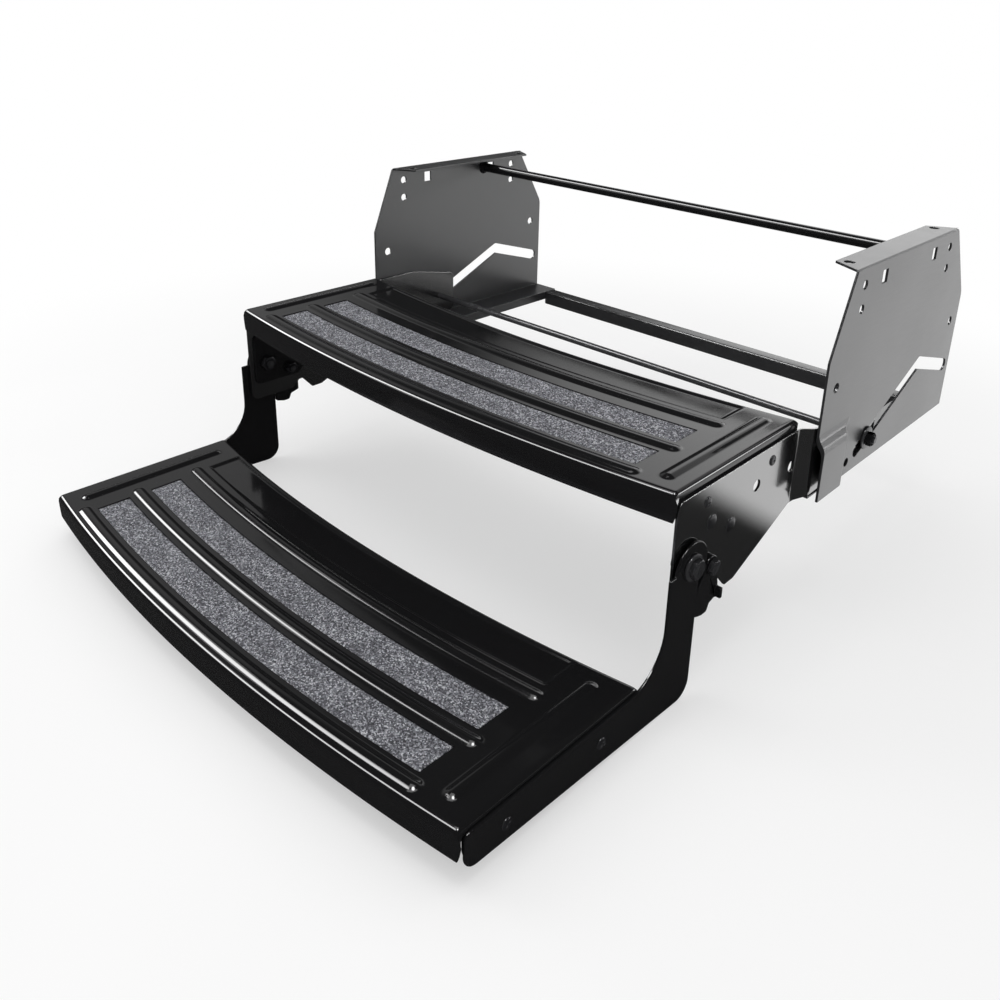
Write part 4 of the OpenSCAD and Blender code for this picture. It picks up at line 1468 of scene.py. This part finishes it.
@dataclass
class Fasteners:
    """Bolts, nuts, washers, rivets, rollers and bushes. Lengths are in metres."""

    turned: Turned
    hex_ratio: float = 1.85
    guide_radius: float = 4 * MM
    pivot_radius: float = 5 * MM
    latch_radius: float = 4 * MM
    doubler_radius: float = 3 * MM
    rivet_radius: float = 2.5 * MM
    clearance: float = 0.1 * MM
    ring_edge: float = 0.35 * MM
    head: float = 5 * MM
    low_head: float = 1.5 * MM
    head_lap: float = 0.5 * MM
    hex_chamfer: float = 0.8 * MM
    low_chamfer: float = 0.7 * MM
    low_dome: float = 0.6
    low_dome_points: int = 9
    pitch: float = 1.25 * MM
    fine_pitch: float = 1 * MM
    lead: float = 0.4 * MM
    threaded: float = 4 * MM
    runout: float = 0.2 * MM
    rod_threaded: float = 2 * MM
    rod_lead: float = 0.5 * MM
    rod_chamfer: float = 0.9 * MM
    rivet_dome: float = 0.55
    rivet_dome_points: int = 8
    set_end_ratio: float = 0.925
    set_end_points: int = 7
    set_end_flat: float = 0.05
    dimple_rim: float = 1.3 * MM
    dimple_floor: float = 0.9 * MM
    dimple_depth: tuple[float, float] = (0.5 * MM, 0.6 * MM)

    def build(self) -> None:
        """Makes every group of fasteners."""
        self.rod()
        for node, radius in (
            ("guide_nuts", self.guide_radius),
            ("pivot_nuts", self.pivot_radius),
            ("latch_nuts", self.latch_radius),
            ("doubler_nuts", self.doubler_radius),
        ):
            self.group(node, self.nut, radius, 28.0)
        for node, radius, slot, body in (
            ("guide_rollers", self.guide_radius, Slot.BUSH, Body.CARRIAGE),
            ("guide_washers", self.guide_radius, Slot.HARDWARE, Body.CARRIAGE),
            ("pivot_spacers", self.pivot_radius, Slot.HARDWARE, Body.CARRIAGE),
            ("pivot_washers", self.pivot_radius, Slot.HARDWARE, Body.CARRIAGE),
            ("pivot_bushes", self.pivot_radius, Slot.BUSH, Body.LOWER),
        ):
            self.group(node, self.ring, radius, 32.0, slot, body)
        self.group("pivot_bolts", self.hex_bolt, self.pivot_radius, 28.0)
        self.group("latch_bolts", self.hex_bolt, self.latch_radius, 28.0)
        self.group("doubler_bolts", self.low_bolt, self.doubler_radius, 40.0)
        self.group("upper_tread_rivets", self.rivet, self.rivet_radius, 40.0)
        self.group("lower_tread_rivets", self.rivet, self.rivet_radius, 40.0, body=Body.LOWER)

    def group(
        self,
        node: str,
        make: Callable[[Box, float], bpy.types.Object],
        radius: float,
        angle: float,
        slot: Slot = Slot.HARDWARE,
        body: Body = Body.CARRIAGE,
    ) -> None:
        """Makes one fastener, copies it to the places of a node's solids and puts the group in place.

        Args:
            node: CAD node that the group stands for.
            make: Makes the fastener for the right side from its box and radius.
            radius: Radius of the shank, or of the shank that it sits on.
            angle: Largest angle that is shaded smooth, in degrees.
            slot: Slot of the finish.
            body: Body that the group rides on.
        """
        boxes = self.turned.kit.parts.solids(node)
        piece = self.turned.row(make(boxes[-1], radius), boxes, node + "_dressed")
        self.turned.kit.settle(Bench.finish(piece, angle), body, slot, node)

    def rod(self) -> None:
        """Turns the guide rod with threaded ends."""
        low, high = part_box("guide_rod")
        middle, end, radius = (low + high) / 2, high.x, self.guide_radius
        start = self.turned.kit.parts.solids("guide_nuts")[-1].low.x - self.rod_threaded
        thread = self.turned.thread(start, end - self.rod_lead, radius, self.pitch)
        right = [(start, radius), *thread, (end, radius - self.rod_chamfer), (end, 0.0)]
        profile = [(-x, y) for x, y in reversed(right)] + right
        piece = self.turned.lathe("guide_rod_dressed", profile)
        piece.location = (0.0, middle.y, middle.z)
        self.turned.kit.settle(Bench.finish(piece, 30.0), Body.CARRIAGE, Slot.HARDWARE, "guide_rod")

    def nut(self, box: Box, radius: float) -> bpy.types.Object:
        """Hexagon nut for a bolt of a radius."""
        corner, bore = radius * self.hex_ratio, radius + self.clearance
        return self.turned.hexagon("nut", box.low.x, box.high.x, corner, bore)

    def ring(self, box: Box, radius: float) -> bpy.types.Object:
        """Washer, spacer, roller or bush on a shank of a radius.

        Args:
            box: Box of the CAD solid on the right side.
            radius: Radius of the shank that it sits on.

        Returns:
            The ring.
        """
        soft = min(self.ring_edge, box.size.x / 4)
        profile = self.turned.ring(box.low.x, box.high.x, radius + self.clearance, box.size.y / 2, soft)
        return self.turned.lathe("ring", profile, hollow=True)

    def shank(self, low: float, radius: float, pitch: float, chamfer: float) -> Profile:
        """Profile of a bolt's threaded end, from the end's middle to the plain shank."""
        thread = self.turned.thread(low + self.lead, low + self.threaded, radius, pitch)
        return [(low, 0.0), (low, radius - chamfer), *thread, (low + self.threaded + self.runout, radius)]

    @staticmethod
    def dome(seat: float, height: float, wide: float, turns: np.ndarray, fullness: float) -> Profile:
        """Profile of a low dome, by turns that are nought at its rim and a quarter at its tip."""
        return [(seat + height * math.sin(turn), wide * math.cos(turn) ** fullness) for turn in turns]

    def hex_bolt(self, box: Box, radius: float) -> bpy.types.Object:
        """Bolt with a hexagon head and a threaded end.

        Args:
            box: Box of the CAD solid on the right side.
            radius: Radius of the shank.

        Returns:
            The bolt.
        """
        seat = box.high.x - self.head
        inside = seat + self.head_lap
        cap = self.turned.hexagon("head", seat, box.high.x, radius * self.hex_ratio)
        end = self.shank(box.low.x, radius, self.pitch, self.hex_chamfer)
        shank = self.turned.lathe("shank", [*end, (inside, radius), (inside, 0.0)])
        return Bench.join([cap, shank], "hex_bolt")

    def low_bolt(self, box: Box, radius: float) -> bpy.types.Object:
        """Bolt with a low domed head and a threaded end.

        Args:
            box: Box of the CAD solid on the right side.
            radius: Radius of the shank.

        Returns:
            The bolt.
        """
        seat = box.high.x - self.low_head
        turns = np.linspace(0.0, QUARTER, self.low_dome_points)
        dome = self.dome(seat, self.low_head, box.size.y / 2, turns, self.low_dome)
        end = self.shank(box.low.x, radius, self.fine_pitch, self.low_chamfer)
        return self.turned.lathe("low_bolt", [*end, (seat, radius), *dome[:-1], (box.high.x, 0.0)])

    def rivet(self, box: Box, radius: float) -> bpy.types.Object:
        """Rivet with a domed head, a dimple in it and a flattened set end.

        Args:
            box: Box of the CAD solid on the right side.
            radius: Radius of the shank.

        Returns:
            The rivet.
        """
        wide, tip = box.size.y / 2, box.high.x
        seat, back = tip - self.low_head, box.low.x + self.low_head
        turns = np.linspace(0.0, QUARTER, self.rivet_dome_points)
        dome = self.dome(seat, self.low_head, wide, turns, self.rivet_dome)
        dome = [(x, max(y, self.dimple_rim)) for x, y in dome]
        edge, floor = self.dimple_depth
        dimple = [(tip - edge, self.dimple_floor), (tip - floor, 0.0)]
        turns = np.linspace(QUARTER - self.set_end_flat, 0.0, self.set_end_points)
        set_end = self.dome(back, -self.low_head, wide * self.set_end_ratio, turns, self.rivet_dome)
        profile = [(box.low.x, 0.0), *set_end, (back, radius), (seat, radius), *dome, *dimple]
        return self.turned.lathe("rivet", profile)


@dataclass(frozen=True)
class Glow:
    """Soft bright patch of the room, with its half angles in degrees."""

    aim: Point
    inner: float
    outer: float
    strength: float


@dataclass(frozen=True)
class SoftBox:
    """Rectangular lamp: its place, the point that it faces, its width and height, and its watts."""

    name: str
    place: Point
    aim: Point
    size: tuple[float, float]
    power: float

    def hang(self) -> None:
        """Adds the lamp to the scene."""
        data = bpy.data.lights.new(self.name, "AREA")
        data.shape = "RECTANGLE"
        data.size, data.size_y = self.size
        data.energy = self.power
        lamp = bpy.data.objects.new(self.name, data)
        lamp.location = self.place
        lamp.rotation_euler = (Vector(self.aim) - Vector(self.place)).to_track_quat("-Z", "Y").to_euler()
        lamp.visible_camera = False
        bpy.context.scene.collection.objects.link(lamp)


@dataclass
class Studio:
    """Floor, lights and camera. Lengths are in metres and angles in degrees."""

    place: Point = (0.642826, -0.904988, 0.219642)
    azimuth: float = 42.124
    elevation: float = 20.8
    roll: float = 1.764
    focal: float = 0.943679
    sensor: float = 36.0
    shift: tuple[float, float] = (-0.03, -0.15)
    clip: tuple[float, float] = (0.01, 100.0)
    floor_size: float = 24.0
    floor_gap: float = 0.5 * MM
    floor_tones: tuple[Colour, Colour] = ((0.93, 0.93, 0.93), (0.95, 0.95, 0.95))
    floor_dark: Colour = (0.04, 0.04, 0.04)
    middle: Point = (0.0, -0.22, -0.34)
    shadow_reach: tuple[float, float] = (0.6875, 1.25)
    shadow_lift: float = 0.45
    dark_edge: tuple[float, float] = (-0.11, -0.045)
    dark_slant: float = 0.15
    dark_right: tuple[float, float] = (0.25, 0.38)
    dark_rear: tuple[float, float] = (0.27, 0.6)
    ambient: float = 0.76
    room: float = 0.02
    last_bounce: float = 2.5
    glows: tuple[Glow, ...] = (
        Glow((-0.40, 0.78, 0.48), 4.0, 20.0, 1.0),
        Glow((-0.84, 0.32, 0.44), 4.0, 24.0, 0.3),
        Glow((0.20, -0.12, 0.97), 5.0, 12.0, 22.0),
        Glow((0.0, 0.95, 0.25), 12.0, 36.0, 1.0),
        Glow((0.64, 0.75, 0.13), 3.0, 9.0, 9.0),
    )
    strip: tuple[Point, Point] = ((-0.600, -0.380, 0.700), (0.006, 0.88, 0.475))
    strip_reach: tuple[float, float] = (24.0, 36.0)
    strip_half: tuple[float, float] = (4.0, 11.0)
    strip_strength: float = 13.0
    lamps: tuple[SoftBox, ...] = (
        SoftBox("overhead_softbox", (0.1, -0.6, 1.5), (0.0, -0.3, -0.2), (1.2, 0.9), 7.0),
        SoftBox("left_front_softbox", (-1.3, -1.1, 0.8), (0.0, -0.4, -0.2), (0.9, 0.9), 4.0),
    )

    def build(self) -> None:
        """Makes the camera, the floor, the world and the lamps."""
        bpy.context.scene.view_settings.view_transform = "Standard"
        self.camera()
        self.floor(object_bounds()[0].z - self.floor_gap)
        self.world()
        for lamp in self.lamps:
            lamp.hang()

    def camera(self) -> None:
        """Sets the camera at the photograph's viewing angle."""
        a, e, r = (math.radians(angle) for angle in (self.azimuth, self.elevation, self.roll))
        back = Vector((math.sin(a) * math.cos(e), -math.cos(a) * math.cos(e), math.sin(e)))
        right = Vector((math.cos(a), math.sin(a), 0.0))
        up = back.cross(right)
        across = right * math.cos(r) + up * math.sin(r)
        upward = up * math.cos(r) - right * math.sin(r)
        data = bpy.data.cameras.new("camera")
        data.sensor_width = self.sensor
        data.lens = self.focal * self.sensor
        data.shift_x, data.shift_y = self.shift
        data.clip_start, data.clip_end = self.clip
        camera = bpy.data.objects.new("camera", data)
        turn = Matrix((across, upward, back)).transposed().to_4x4()
        camera.matrix_world = Matrix.Translation(self.place) @ turn
        bpy.context.scene.collection.objects.link(camera)
        bpy.context.scene.camera = camera

    def floor(self, height: float) -> None:
        """Lays a pale floor that runs out of sight and keeps the step's shadow.

        Args:
            height: Height of the floor.
        """
        Bench.clear_selection()
        bpy.ops.mesh.primitive_plane_add(size=self.floor_size, location=(0.0, 0.0, height))
        plane = Bench.named("floor")
        shader = Shader.named("pale_floor")
        where = shader.place()
        tone = shader.mix(shader.noise(where, 3.0, 2.0).spread(0.3, 0.7), *self.floor_tones)
        glossy = shader.ray("Is Glossy Ray")
        direct = shader.ray("Is Camera Ray") + shader.ray("Is Transmission Ray")
        near = shader.node("ShaderNodeBsdfDiffuse", {}, {"Color": shader.mix(glossy, tone, self.floor_dark)})
        far = shader.node("ShaderNodeEmission", {}, {"Color": WHITE, "Strength": 1.0})
        away = shader.vector("DISTANCE", where, self.middle)
        lifted = away.spread(*self.shadow_reach, self.shadow_lift, 1.0) * direct
        across, behind = (shader.node("ShaderNodeSeparateXYZ", {}, {"Vector": where}, axis) for axis in "XY")
        under = (1 - across.spread(*self.dark_right)) * (1 - behind.spread(*self.dark_rear))
        swept = (behind - across * self.dark_slant).spread(*self.dark_edge) * (1 - under)
        share = lifted + swept * glossy
        shader.end(shader.node("ShaderNodeMixShader", {}, {0: share, 1: near, 2: far}))
        plane.data.materials.append(shader.owner)
        plane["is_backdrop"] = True

    def world(self) -> None:
        """Lights the scene softly: white to the camera, and a dark room with soft glows to reflections."""
        world = bpy.data.worlds.new("studio")
        bpy.context.scene.world = world
        shader = Shader(world)
        toward = shader.node("ShaderNodeTexCoord", output="Generated")
        room: Any = self.room
        for glow in self.glows:
            low, high = (math.cos(math.radians(angle)) for angle in (glow.outer, glow.inner))
            room = self.facing(shader, toward, glow.aim).spread(low, high, 0.0, glow.strength) + room
        high, low = (math.cos(math.radians(angle)) for angle in self.strip_reach)
        along = self.facing(shader, toward, self.strip[0]).spread(low, high, 0.0, self.strip_strength)
        near, away = (math.sin(math.radians(angle)) ** 2 for angle in self.strip_half)
        off = self.facing(shader, toward, self.strip[1]) ** 2
        room = along * (1 - off.spread(near, away)) + room
        glossy, direct = shader.ray("Is Glossy Ray"), shader.ray("Is Camera Ray")
        later = shader.ray("Ray Depth").above(self.last_bounce)
        room = room * (1 - later) + later * self.room
        level = room * glossy + direct + (1 - glossy) * (1 - direct) * self.ambient
        shader.end(shader.node("ShaderNodeBackground", {}, {"Color": WHITE, "Strength": level}))

    @staticmethod
    def facing(shader: Shader, toward: Value, aim: Point) -> Value:
        """Cosine of the angle between a ray's direction and an axis."""
        axis = Vector(aim).normalized()
        return shader.vector("DOT_PRODUCT", toward, axis)


def main() -> None:
    """Builds the step, its studio and the note of its size."""
    for old in list(bpy.data.objects):
        bpy.data.objects.remove(old)
    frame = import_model()
    kit = Kit(Parts(frame), Finishes())
    Tread(kit, "upper", Body.CARRIAGE, pan_half=302.5 * MM, ear_half=305 * MM).build()
    Tread(kit, "lower", Body.LOWER, pan_half=307 * MM, ear_half=309.5 * MM).build()
    SheetMetal(kit).build()
    turned = Turned(kit)
    CrossMembers(turned).build()
    Fasteners(turned).build()
    Studio().build()
    LOG.info("%d pieces made", len(kit.made))


if __name__ == "__main__":
    logging.basicConfig(level=logging.INFO, format="%(message)s")
    main()
